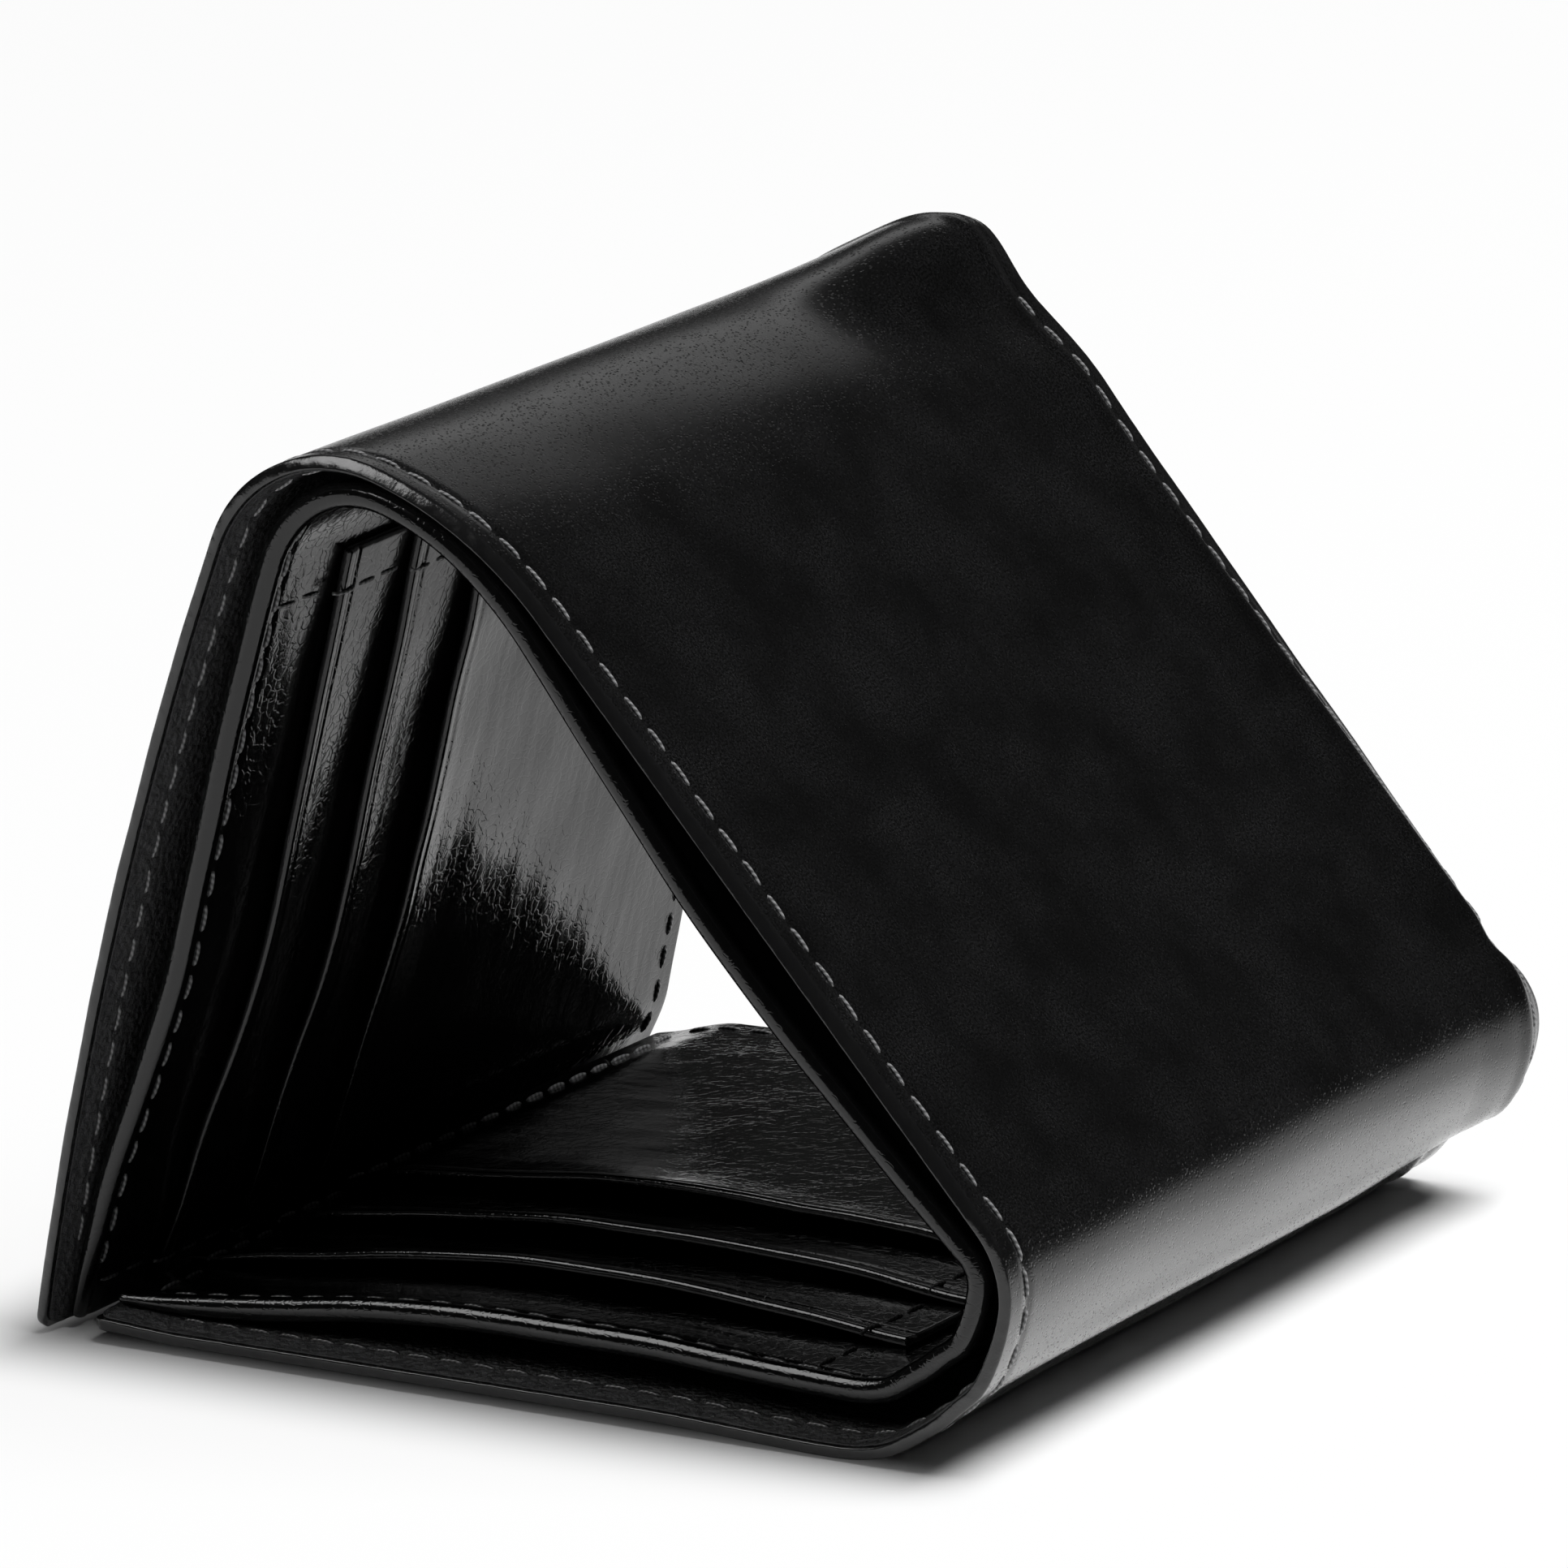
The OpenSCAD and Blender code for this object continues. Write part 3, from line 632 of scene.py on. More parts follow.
def layer_piece(name, layer, first, last, finishes):
    """Closed mesh of the rows from first to last of a layer, shaded as the whole layer"""
    points = layer["points"][first : last + 1]
    normals = layer["normals"][first : last + 1]
    s = layer["rows"][first : last + 1]
    count, cols = points.shape[:2]
    grid = np.arange(count * cols).reshape(count, cols)
    right = np.roll(grid, -1, axis=1)
    quads = np.stack([grid[:-1], right[:-1], right[1:], grid[1:]], axis=-1).reshape(-1, 4)
    low_cap, high_cap = grid[0, ::-1], grid[-1]
    corners = np.concatenate([quads.ravel(), low_cap, high_cap])
    sizes = np.concatenate([np.full(len(quads), 4), [cols, cols]])
    starts = np.concatenate([[0], np.cumsum(sizes)[:-1]])

    mesh = bpy.data.meshes.new(name)
    mesh.vertices.add(count * cols)
    mesh.vertices.foreach_set("co", points.astype(np.float32).ravel())
    mesh.loops.add(len(corners))
    mesh.loops.foreach_set("vertex_index", corners.astype(np.int32))
    mesh.polygons.add(len(sizes))
    mesh.polygons.foreach_set("loop_start", starts.astype(np.int32))
    paint = np.concatenate([np.tile(layer["edge"], count - 1), [True, True]])
    mesh.polygons.foreach_set("material_index", paint.astype(np.int32))
    mesh.update(calc_edges=True)
    mesh.validate()
    mesh.shade_smooth()

    u, u_next = np.repeat(s[:-1], cols), np.repeat(s[1:], cols)
    v, v_next = (np.tile(layer["round"][i : i + cols], count - 1) for i in (0, 1))
    pairs = ((u, v), (u, v_next), (u_next, v_next), (u_next, v))
    flat = np.stack([np.stack(pair, 1) for pair in pairs], axis=1).reshape(-1, 2)
    caps = [points[0][::-1][:, [2, 1]], points[-1][:, [2, 1]]]
    grain = mesh.uv_layers.new(name="grain")
    grain.uv.foreach_set("vector", np.concatenate([flat, *caps]).astype(np.float32).ravel())

    facing = points[-1].mean(0) - points[0].mean(0)
    shade = [normals.reshape(-1, 3)[quads.ravel()]]
    for ring, way in ((points[0], -1), (points[-1], 1)):
        cap = np.cross(ring[cols // 3] - ring[0], ring[2 * cols // 3] - ring[0])
        cap = cap / max(TINY, np.linalg.norm(cap))
        shade.append(np.tile(cap * (way if cap @ facing > 0 else -way), (cols, 1)))
    mesh.normals_split_custom_set(np.concatenate(shade).astype(np.float32).tolist())
    for finish in finishes:
        mesh.materials.append(finish_of(finish))
    piece = bpy.data.objects.new(name, mesh)
    bpy.context.scene.collection.objects.link(piece)
    return piece


# Pieces of a long layer: name, bodies before and after the crease, and nodes
STRETCHES = [
    ("bottom", "bottom_panel", "lower_fold", ("bottom", "lower_fold")),
    ("lower", "lower_fold", "middle_panel", ("lower_fold", "middle")),
    ("upper", "middle_panel", "top_fold", ("middle", "top_fold")),
    ("left", "top_fold", "left_panel", ("top_fold", "left")),
]


# Reach of the bend before and after each crease, in mm
BEND_REACH = [(8, 8), (8.5, 8.5), (11.5, 10.5), (10, 10)]


def bend_reach(wallet, k):
    """Start and end of the bend at crease k, on the lining"""
    crease, clear = wallet.creases[k], 0.5 * MM
    before, after = BEND_REACH[k]
    start = max(crease - before * MM, wallet.cuts[k] + clear)
    end = min(crease + after * MM, wallet.cuts[k + 1] - clear)
    return [wallet.place(s, wallet.sheet_t, wallet.origin_y) for s in (start, end)]


def set_bend(wallet, piece, k, nodes):
    """Finds the reach of the bend at crease k, bakes the piece in place and hides the solids it
    stands for
    """
    start, end = bend_reach(wallet, k)
    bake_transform(piece)
    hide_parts(*nodes)


def long_rows(wallet, inset):
    """Rows from one free end to the other, with one at each place where layers are parted"""
    step, r = wallet.hide.grid_step, wallet.size.corner_r
    a, b = wallet.cuts[0] + inset, wallet.cuts[-1] - inset
    knots = [a + r, *wallet.cuts[1:-1], b - r]
    parts = [a + end_places(r, 1)]
    parts += [spread(knots[i], knots[i + 1], step) for i in range(len(knots) - 1)]
    parts += [b + end_places(r, -1)]
    return join_places(*parts), (a, b)


def long_layer(wallet, kind, slot, finishes, inset, front, back, **form):
    """Four pieces of a layer that runs over all the panels, parted in the folds"""

    def corner(s):
        return wallet.corner_in(wallet.end_distance(s) - inset)

    rows, ends = long_rows(wallet, inset)
    reach = wallet.size.wallet_h - back
    layer = leather_layer(
        wallet, rows, ends, lambda s: front + corner(s), lambda s: reach - corner(s), **form
    )
    places = [int(np.argmin(np.abs(rows - cut))) for cut in wallet.cuts]
    for k, (stretch, _, _, zones) in enumerate(STRETCHES):
        name = f"{kind}_{stretch}_leather"
        piece = layer_piece(name, layer, places[k], places[k + 1], finishes)
        set_bend(wallet, piece, k, [f"{kind}_{zone}" for zone in zones])


# Materials


def add_node(tree, kind, inputs=None, **settings):
    """New node of a tree. An input is a value, or a socket to link it to."""
    node = tree.nodes.new(kind)
    for key, value in settings.items():
        setattr(node, key, value)
    for key, value in (inputs or {}).items():
        socket = node.inputs[key]
        if isinstance(value, bpy.types.NodeSocket):
            tree.links.new(value, socket)
        else:
            socket.default_value = value
    return node


class Shade:
    """Short way to place and link the nodes of one material"""

    def __init__(self, name):
        self.material = bpy.data.materials.new(name)
        self.material.use_nodes = True
        self.tree = self.material.node_tree
        self.tree.nodes.clear()
        self.out = self.add("ShaderNodeOutputMaterial")

    def add(self, kind, inputs=None, **settings):
        return add_node(self.tree, kind, inputs, **settings)

    def math(self, kind, a, b=0.0, c=0.0):
        return self.add("ShaderNodeMath", {0: a, 1: b, 2: c}, operation=kind).outputs[0]

    def vector(self, kind, a, b=(0.0, 0.0, 0.0), out=0):
        return self.add("ShaderNodeVectorMath", {0: a, 1: b}, operation=kind).outputs[out]

    def spread(self, value, low, high, to_low, to_high):
        ends = {"From Min": low, "From Max": high, "To Min": to_low, "To Max": to_high}
        return self.add("ShaderNodeMapRange", {"Value": value, **ends}).outputs[0]

    def tint(self, value, dark, light):
        inputs = {"Factor": value, "A": (*dark, 1.0), "B": (*light, 1.0)}
        return self.add("ShaderNodeMix", inputs, data_type="RGBA").outputs["Result"]

    def grain_mm(self):
        place = self.add("ShaderNodeUVMap", uv_map="grain").outputs["UV"]
        scale = (1 / MM, 1 / MM, 1 / MM)
        return self.add("ShaderNodeMapping", {"Vector": place, "Scale": scale}).outputs["Vector"]

    def noise(self, place, scale, detail=2.0, rough=0.5, out="Fac"):
        inputs = {"Vector": place, "Scale": scale, "Detail": detail, "Roughness": rough}
        return self.add("ShaderNodeTexNoise", inputs).outputs[out]

    def cells(self, place, scale, feature="F1"):
        inputs = {"Vector": place, "Scale": scale}
        return self.add("ShaderNodeTexVoronoi", inputs, feature=feature).outputs["Distance"]

    def bump(self, height, depth_mm, strength=1.0, under=None):
        inputs = {"Height": height, "Distance": depth_mm * MM, "Strength": strength}
        if under is not None:
            inputs["Normal"] = under
        return self.add("ShaderNodeBump", inputs).outputs["Normal"]

    def close(self, **inputs):
        named = {key.replace("_", " "): value for key, value in inputs.items()}
        shader = self.add("ShaderNodeBsdfPrincipled", named)
        self.tree.links.new(shader.outputs[0], self.out.inputs["Surface"])
        return self.material


def scaled(rgb, by):
    return tuple(min(1.0, c * by) for c in rgb)


def outer_leather(rgb):
    """Polished black leather: small pores and faint clouds under a thin clear finish"""
    shade = Shade("Outer leather")
    place = shade.grain_mm()
    fine = shade.noise(place, 4.2, 2.0, 0.6)
    broad = shade.noise(place, 0.25, 2.0)
    pores = shade.spread(shade.cells(place, 2.2), 0.06, 0.34, 0.0, 1.0)
    height = shade.math("MULTIPLY_ADD", fine, 0.8, pores)
    grain = shade.bump(height, 0.032, 0.8)
    dull = shade.math("MULTIPLY_ADD", broad, 0.12, 0.44)
    dull = shade.math("MULTIPLY_ADD", pores, -0.26, dull)
    cloud = shade.spread(shade.noise(place, 0.09, 3.0, 0.6), 0.35, 0.65, 0.25, 1.0)
    mottle = shade.math("MULTIPLY", shade.spread(fine, 0.42, 0.6, 0.0, 1.0), cloud)
    return shade.close(
        Base_Color=shade.tint(mottle, scaled(rgb, 0.0), scaled(rgb, 5.0)),
        Roughness=dull,
        IOR=1.6,
        Normal=grain,
        Coat_Weight=1.0,
        Coat_Roughness=0.18,
        Coat_IOR=1.6,
        Coat_Normal=grain,
    )


def edge_paint(rgb):
    """Painted and polished cut edge, a little uneven"""
    shade = Shade("Edge paint")
    place = shade.grain_mm()
    fine = shade.noise(place, 3.4, 3.0, 0.6)
    lumps = shade.noise(place, 0.8, 2.0)
    height = shade.math("MULTIPLY_ADD", lumps, 1.2, shade.math("MULTIPLY", fine, 0.5))
    uneven = shade.bump(height, 0.07, 0.6)
    return shade.close(
        Base_Color=shade.tint(fine, scaled(rgb, 0.7), scaled(rgb, 1.4)),
        Roughness=shade.spread(lumps, 0.3, 0.7, 0.14, 0.26),
        Specular_IOR_Level=0.5,
        Normal=uneven,
        Coat_Weight=0.6,
        Coat_Roughness=0.12,
        Coat_Normal=uneven,
    )


def lining_leather(rgb):
    """Matt lining with round pebbles that catch the light"""
    shade = Shade("Lining")
    place = shade.grain_mm()
    pebble = shade.cells(place, 1.5, "SMOOTH_F1")
    fuzz = shade.noise(place, 3.4, 4.0, 0.7)
    height = shade.math("MULTIPLY_ADD", pebble, -1.0, shade.math("MULTIPLY", fuzz, 0.7))
    return shade.close(
        Base_Color=shade.tint(fuzz, scaled(rgb, 0.3), scaled(rgb, 1.9)),
        Roughness=shade.spread(fuzz, 0.3, 0.7, 0.22, 0.45),
        Specular_IOR_Level=0.8,
        Normal=shade.bump(height, 0.45, 1.0),
    )


def inner_leather(rgb):
    """Glossy slot leather with soft wrinkles and fine crackle under a clear finish"""
    shade = Shade("Inner leather")
    place = shade.grain_mm()
    drift = shade.noise(place, 0.5, out="Color")
    moved = shade.vector("ADD", place, shade.vector("MULTIPLY", drift, (2.4, 2.4, 0.0)))
    cracks = shade.spread(shade.cells(moved, 0.8, "DISTANCE_TO_EDGE"), 0.0, 0.1, 0.0, 1.0)
    small = shade.spread(shade.cells(moved, 1.9, "DISTANCE_TO_EDGE"), 0.0, 0.12, 0.0, 1.0)
    fine = shade.noise(place, 3.0, 3.0, 0.6)
    slanted = {"Vector": place, "Rotation": (0.0, 0.0, 0.45), "Scale": (0.04, 0.24, 1.0)}
    long_waves = shade.add("ShaderNodeMapping", slanted).outputs[0]
    waves = shade.noise(long_waves, 1.0, 2.0)
    soft = shade.bump(waves, 0.9, 0.2)
    height = shade.math("MULTIPLY_ADD", small, 0.15, cracks)
    height = shade.math("MULTIPLY_ADD", fine, 0.1, height)
    grain = shade.bump(height, 0.022, 0.5, soft)
    return shade.close(
        Base_Color=shade.tint(cracks, scaled(rgb, 0.4), scaled(rgb, 1.3)),
        Roughness=shade.spread(fine, 0.3, 0.7, 0.09, 0.17),
        Specular_IOR_Level=0.5,
        Normal=grain,
        Coat_Weight=0.2,
        Coat_Roughness=0.08,
        Coat_Normal=grain,
    )


def waxed_thread(rgb):
    """Twisted thread: slanted plies round each stitch. Its grey base colour is painted highlight
    that stands in for the glints of black waxed thread.
    """
    shade = Shade("Waxed thread")
    along = shade.add("ShaderNodeAttribute", attribute_name="thread_along").outputs["Fac"]
    round_at = shade.add("ShaderNodeAttribute", attribute_name="thread_round").outputs["Vector"]
    part = shade.add("ShaderNodeSeparateXYZ", {0: round_at})
    turn = shade.math("MULTIPLY", along, 30.0)
    slant = shade.math("MULTIPLY", shade.math("COSINE", turn), part.outputs[1])
    slant = shade.math("MULTIPLY_ADD", shade.math("SINE", turn), part.outputs[0], slant)
    plies = shade.spread(slant, -1.0, 1.0, 0.0, 1.0)
    return shade.close(
        Base_Color=shade.tint(plies, scaled(rgb, 0.35), scaled(rgb, 1.4)),
        Roughness=shade.spread(plies, 0.0, 1.0, 0.5, 0.28),
        Specular_IOR_Level=0.6,
        Normal=shade.bump(plies, 0.06, 0.8),
    )


def finish_of(name):
    """A finish by name, made once"""
    makers = {
        "outer": outer_leather,
        "edge": edge_paint,
        "lining": lining_leather,
        "inner": inner_leather,
        "thread": waxed_thread,
    }
    made = finish_of.made
    if name not in made:
        made[name] = makers[name](tuple(getattr(bpy.context.scene.wallet_finish, name)))
    return made[name]


finish_of.made = {}


# Stitches


def stitch_tree():
    """Node tree that sets one arched, round stitch on each point of a seam"""
    tree = bpy.data.node_groups.new("Wallet stitches", "GeometryNodeTree")
    face = tree.interface
    for name, kind in (
        ("Geometry", "Geometry"),
        ("Stitch length", "Float"),
        ("Thread thickness", "Float"),
        ("Arch", "Float"),
        ("Seed", "Int"),
        ("Thread", "Material"),
    ):
        face.new_socket(name, in_out="INPUT", socket_type=f"NodeSocket{kind}")
    face.new_socket("Geometry", in_out="OUTPUT", socket_type="NodeSocketGeometry")

    def add(kind, inputs=None, **settings):
        return add_node(tree, kind, inputs, **settings).outputs[0]

    def number(kind, a, b=0.0, c=0.0):
        return add("ShaderNodeMath", {0: a, 1: b, 2: c}, operation=kind)

    def store(geometry, name, value, kind):
        inputs = {"Geometry": geometry, "Name": name, "Value": value}
        return add("GeometryNodeStoreNamedAttribute", inputs, data_type=kind, domain="POINT")

    def stored(name):
        return add("GeometryNodeInputNamedAttribute", {"Name": name}, data_type="FLOAT_VECTOR")

    def dice(low, high, seed):
        inputs = {"Min": low, "Max": high, "Seed": seed}
        return add("FunctionNodeRandomValue", inputs, data_type="FLOAT_VECTOR")

    # Arched line along Z
    start = add_node(tree, "NodeGroupInput").outputs
    line = add("GeometryNodeCurvePrimitiveLine", {"End": (0.0, 0.0, 1.0)})
    line = add("GeometryNodeResampleCurve", {"Curve": line, "Count": 8})
    factor = add("GeometryNodeSplineParameter")
    line = store(line, "thread_along", factor, "FLOAT")
    middle = number("SUBTRACT", factor, 0.5)
    square = number("MULTIPLY", middle, middle)
    lift = number("MULTIPLY_ADD", number("MULTIPLY", square, square), -16.0, 1.0)
    arch = number("MULTIPLY", start["Arch"], number("SUBTRACT", lift, 0.6))
    run = number("MULTIPLY", middle, start["Stitch length"])
    shape = add("ShaderNodeCombineXYZ", {"X": arch, "Y": 0.0, "Z": run})
    line = add("GeometryNodeSetPosition", {"Geometry": line, "Position": shape})

    # Round thread on that line
    half = number("MULTIPLY", start["Thread thickness"], 0.5)
    ring = add("GeometryNodeCurvePrimitiveCircle", {"Resolution": 6, "Radius": half})
    place = add("GeometryNodeInputPosition")
    outward = add("ShaderNodeVectorMath", {0: place}, operation="NORMALIZE")
    ring = store(ring, "thread_round", outward, "FLOAT_VECTOR")
    stitch = {"Curve": line, "Profile Curve": ring, "Fill Caps": True}
    stitch = add("GeometryNodeCurveToMesh", stitch)
    stitch = add("GeometryNodeSetShadeSmooth", {0: stitch})

    # One stitch on each point, turned to its seam, each a little different
    turn = add("FunctionNodeAlignRotationToVector", {"Vector": stored("seam_along")}, axis="Z")
    turn = {"Rotation": turn, "Vector": stored("seam_out")}
    turn = add("FunctionNodeAlignRotationToVector", turn, axis="X", pivot_axis="Z")
    jitter = dice((-0.05, -0.05, -0.05), (0.05, 0.05, 0.05), start["Seed"])
    tilt = add("FunctionNodeEulerToRotation", {0: jitter})
    turn = add("FunctionNodeRotateRotation", {0: turn, 1: tilt}, rotation_space="LOCAL")
    size = dice((0.92, 0.92, 0.94), (1.06, 1.06, 1.06), number("ADD", start["Seed"], 1.0))
    seam = {"Points": start["Geometry"], "Instance": stitch, "Rotation": turn, "Scale": size}
    seam = add("GeometryNodeInstanceOnPoints", seam)
    seam = add("GeometryNodeRealizeInstances", {"Geometry": seam})
    seam = add("GeometryNodeSetMaterial", {"Geometry": seam, "Material": start["Thread"]})
    add_node(tree, "NodeGroupOutput", {"Geometry": seam})
    return tree


def seam_row(wallet, a, b, y, depth):
    """Even places of the stitches of a seam along the section, at its own depth"""
    samples = 4000
    s = np.linspace(a, b, samples)
    n = depth(s, np.full_like(s, y))
    steps = np.gradient(s) * (1 - n * wallet.bend(s))
    run = np.concatenate([[0.0], np.cumsum((steps[1:] + steps[:-1]) / 2)])
    count = max(1, int(run[-1] // wallet.seam.stitch_pitch))
    return np.interp((np.arange(count) + 0.5) * run[-1] / count, run, s)


def seam_across(wallet, y_1, y_2):
    count = max(1, int((y_2 - y_1) // wallet.seam.stitch_pitch))
    return y_1 + (np.arange(count) + 0.5) * (y_2 - y_1) / count


def stitches(wallet, s, y, depth, side, along):
    """Stitches of a seam: place on the section, place, direction and way out of the leather"""
    sunk = wallet.seam.thread_d * -0.12
    return s, wallet.place(s, depth(s, y) + side * sunk, y), along, wallet.inward(s) * side


def along_seam(wallet, s, y, depth, side):
    """Stitches that follow the section"""
    y = np.broadcast_to(y, s.shape)
    step = 0.3 * MM
    after, before = (wallet.place(at, depth(at, y), y) for at in (s + step, s - step))
    along = (after - before) / np.linalg.norm(after - before, axis=1, keepdims=True)
    return stitches(wallet, s, y, depth, side, along)


def across_seam(wallet, s, y, depth, side):
    """Stitches that cross a panel"""
    s = np.broadcast_to(s, y.shape).astype(float)
    along = np.broadcast_to(np.array([0.0, 1.0, 0.0]), (len(y), 3))
    return stitches(wallet, s, y, depth, side, along)


def stitch_piece(name, wallet, tree, seams, low, high):
    """One mesh of all the stitches of these seams between low and high"""
    picked = []
    for s, at, along, out in seams:
        keep = (s >= low) & (s < high)
        picked.append((at[keep], along[keep], out[keep]))
    at, along, out = (np.concatenate([p[i] for p in picked]) for i in range(3))
    mesh = bpy.data.meshes.new(name)
    mesh.vertices.add(len(at))
    mesh.vertices.foreach_set("co", at.astype(np.float32).ravel())
    for key, value in (("seam_along", along), ("seam_out", out)):
        data = mesh.attributes.new(key, "FLOAT_VECTOR", "POINT").data
        data.foreach_set("vector", value.astype(np.float32).ravel())
    piece = bpy.data.objects.new(name, mesh)
    bpy.context.scene.collection.objects.link(piece)
    modifier = piece.modifiers.new("Stitches", "NODES")
    modifier.node_group = tree
    named = {
        "Stitch length": wallet.seam.stitch_len,
        "Thread thickness": wallet.seam.thread_d,
        "Arch": wallet.seam.thread_d,
        "Seed": wallet.seam.seed,
        "Thread": finish_of("thread"),
    }
    for item in tree.interface.items_tree:
        if item.item_type == "SOCKET" and item.in_out == "INPUT" and item.name in named:
            modifier[item.identifier] = named[item.name]
    graph = bpy.context.evaluated_depsgraph_get()
    made = bpy.data.meshes.new_from_object(
        piece.evaluated_get(graph), preserve_all_data_layers=True, depsgraph=graph
    )
    piece.modifiers.clear()
    piece.data = made
    made.name = name
    bpy.data.meshes.remove(mesh)
    if not made.polygons:
        raise RuntimeError(f"{name} has no stitches")
    return piece


# Operators, one for each piece or group of like pieces


class WALLET_OT_cover(bpy.types.Operator):
    """Outer leather, from one free end over both folds to the other"""

    bl_idname = "wallet.cover"
    bl_label = "Cover"

    def execute(self, context):
        wallet = Wallet(context.scene)
        hide, wide = wallet.hide, wallet.size.wallet_h

        def lean(s):
            upper = rise(s, 34, 12) * fall(s, 154, 14)
            return hide.edge_lean * (1 + 3 * upper), hide.edge_lean

        long_layer(
            wallet,
            "cover",
            "outer_leather",
            ("outer", "edge"),
            inset=0.0,
            front=0.0,
            back=0.0,
            outside=wallet.cover_out,
            inside=wallet.cover_in,
            outer_cols=face_places(wide, 8, 0.4, 3, 13, 0.45),
            inner_cols=face_places(wide, 4, 2, 12, 4, 2),
            edge=hide.edge_round,
            lean=lean,
            ragged=0.3,
        )
        return {"FINISHED"}


class WALLET_OT_lining(bpy.types.Operator):
    """Lining of the bill compartment"""

    bl_idname = "wallet.lining"
    bl_label = "Lining"

    def execute(self, context):
        wallet = Wallet(context.scene)
        wide = wallet.size.wallet_h
        inset, room = 0.55 * MM, 0.03 * MM
        long_layer(
            wallet,
            "lining",
            "lining",
            ("lining", "lining"),
            inset=inset,
            front=inset,
            back=inset,
            outside=lambda s, y: wallet.cover_in(s, y) + room,
            inside=wallet.lining_in,
            outer_cols=face_places(wide, 4, 2, 12, 4, 2),
            inner_cols=face_places(wide, 8, 0.4, 2.5, 8, 1),
            edge=0.08 * MM,
        )
        return {"FINISHED"}


class WALLET_OT_divider(bpy.types.Operator):
    """Inner wall of the bill compartment, with a rolled front edge"""

    bl_idname = "wallet.divider"
    bl_label = "Divider"

    def execute(self, context):
        wallet = Wallet(context.scene)
        hide, wide = wallet.hide, wallet.size.wallet_h
        long_layer(
            wallet,
            "divider",
            "inner_leather",
            ("inner", "edge"),
            inset=hide.ply_inset,
            front=hide.divider_front,
            back=hide.ply_inset,
            outside=wallet.divider_out,
            inside=wallet.divider_in,
            outer_cols=face_places(wide, 6, 0.6, 4, 6, 1.5),
            inner_cols=face_places(wide, 9, 0.35, 2.5, 8, 0.7),
            edge=1.15 * MM,
            painted=False,
        )
        return {"FINISHED"}


class WALLET_OT_slots(bpy.types.Operator):
    """Stepped card slots and large pockets on the two flaps"""

    bl_idname = "wallet.slots"
    bl_label = "Card slots"

    def execute(self, context):
        wallet = Wallet(context.scene)
        hide = wallet.hide
        wide = wallet.size.wallet_h
        r, step = wallet.size.corner_r, 0.9 * MM
        for flap, body, span, free in (
            ("bottom", "bottom_panel", wallet.slots_bottom, 0),
            ("left", "left_panel", wallet.slots_left, 1),
        ):
            a, b = span
            round_a, round_b = (MM, r) if free else (r, MM)
            rows = join_places(
                a + end_places(round_a, 1),
                spread(a + round_a, b - round_b, step),
                b + end_places(round_b, -1),
            )
            for k in range(1, wallet.slot_count + 1):
                node = f"{flap}_slot_{k}" if k < wallet.slot_count else f"{flap}_pocket"
                front = wallet.slot_front(k)

                def back(s):
                    return wide - hide.ply_inset - wallet.corner_in(np.abs(s - span[free]))

                layer = leather_layer(
                    wallet,
                    rows,
                    span,
                    lambda s: np.full_like(s, front),
                    back,
                    outside=lambda s, y: wallet.slot_out(span, k, s, y),
                    inside=lambda s, y: wallet.slot_in(span, k, s, y),
                    outer_cols=face_places(wide - front, 4, 1, 6, 6, 2),
                    inner_cols=face_places(wide - front, 5, 0.25, 1.6, 8, 0.7),
                    edge=0.45 * MM,
                    painted=False,
                )
                last = len(rows) - 1
                piece = layer_piece(f"{node}_leather", layer, 0, last, ("inner", "edge"))
                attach(piece, body)
                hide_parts(node)
        return {"FINISHED"}


class WALLET_OT_stitches(bpy.types.Operator):
    """Seams of the cover and lining, of the divider and of the slots"""

    bl_idname = "wallet.stitches"
    bl_label = "Stitches"

    def execute(self, context):
        wallet = Wallet(context.scene)
        seam, hide = wallet.seam, wallet.hide
        tree = stitch_tree()
        wide = wallet.size.wallet_h
        a, b = wallet.cuts[0], wallet.cuts[-1]
        end = seam.end_seam
        front, back = seam.seam_inset, wide - seam.seam_inset
        mouth = hide.divider_front + seam.divider_seam
        low, high = a + end + 1.5 * MM, b - end - 1.5 * MM
        # The closed edge's seam stops before the knuckle and goes on after it
        over = wide - seam.seam_back
        knuckle = 126 * MM, 150 * MM
        lining_end = 9 * MM

        def row(y, depth, side, low, high):
            return along_seam(wallet, seam_row(wallet, low, high, y, depth), y, depth, side)

        def cross(s, y_1, y_2, depth, side):
            return across_seam(wallet, s, seam_across(wallet, y_1, y_2), depth, side)

        edge = [
            row(front, wallet.cover_out, -1, wallet.creases[0], b - end),
            row(over, wallet.cover_out, -1, wallet.creases[0], knuckle[0]),
            row(over, wallet.cover_out, -1, knuckle[1], b - end),
            row(front, wallet.lining_in, 1, a + lining_end, b - lining_end),
            cross(b - end, front, back, wallet.cover_out, -1),
        ]
        inner = [
            row(mouth, wallet.divider_in, 1, low, high),
            row(back, wallet.top_face, 1, low, wallet.slots_bottom[1]),
            row(back, wallet.divider_in, 1, MM, wallet.left_start - MM),
            row(back, wallet.top_face, 1, wallet.slots_left[0], high),
        ]
        for s in (a + end, wallet.slots_bottom[1] - end, wallet.slots_left[0] + end, b - end):
            inner.append(cross(s, mouth, back, wallet.top_face, 1))
        for kind, seams in (("edge_stitches", edge), ("inner_stitches", inner)):
            for k, (stretch, _, _, zones) in enumerate(STRETCHES):
                low, high = wallet.cuts[k], wallet.cuts[k + 1] + SLACK
                piece = stitch_piece(f"{kind}_{stretch}_thread", wallet, tree, seams, low, high)
                set_bend(wallet, piece, k, [f"{kind}_{zone}" for zone in zones])
        return {"FINISHED"}


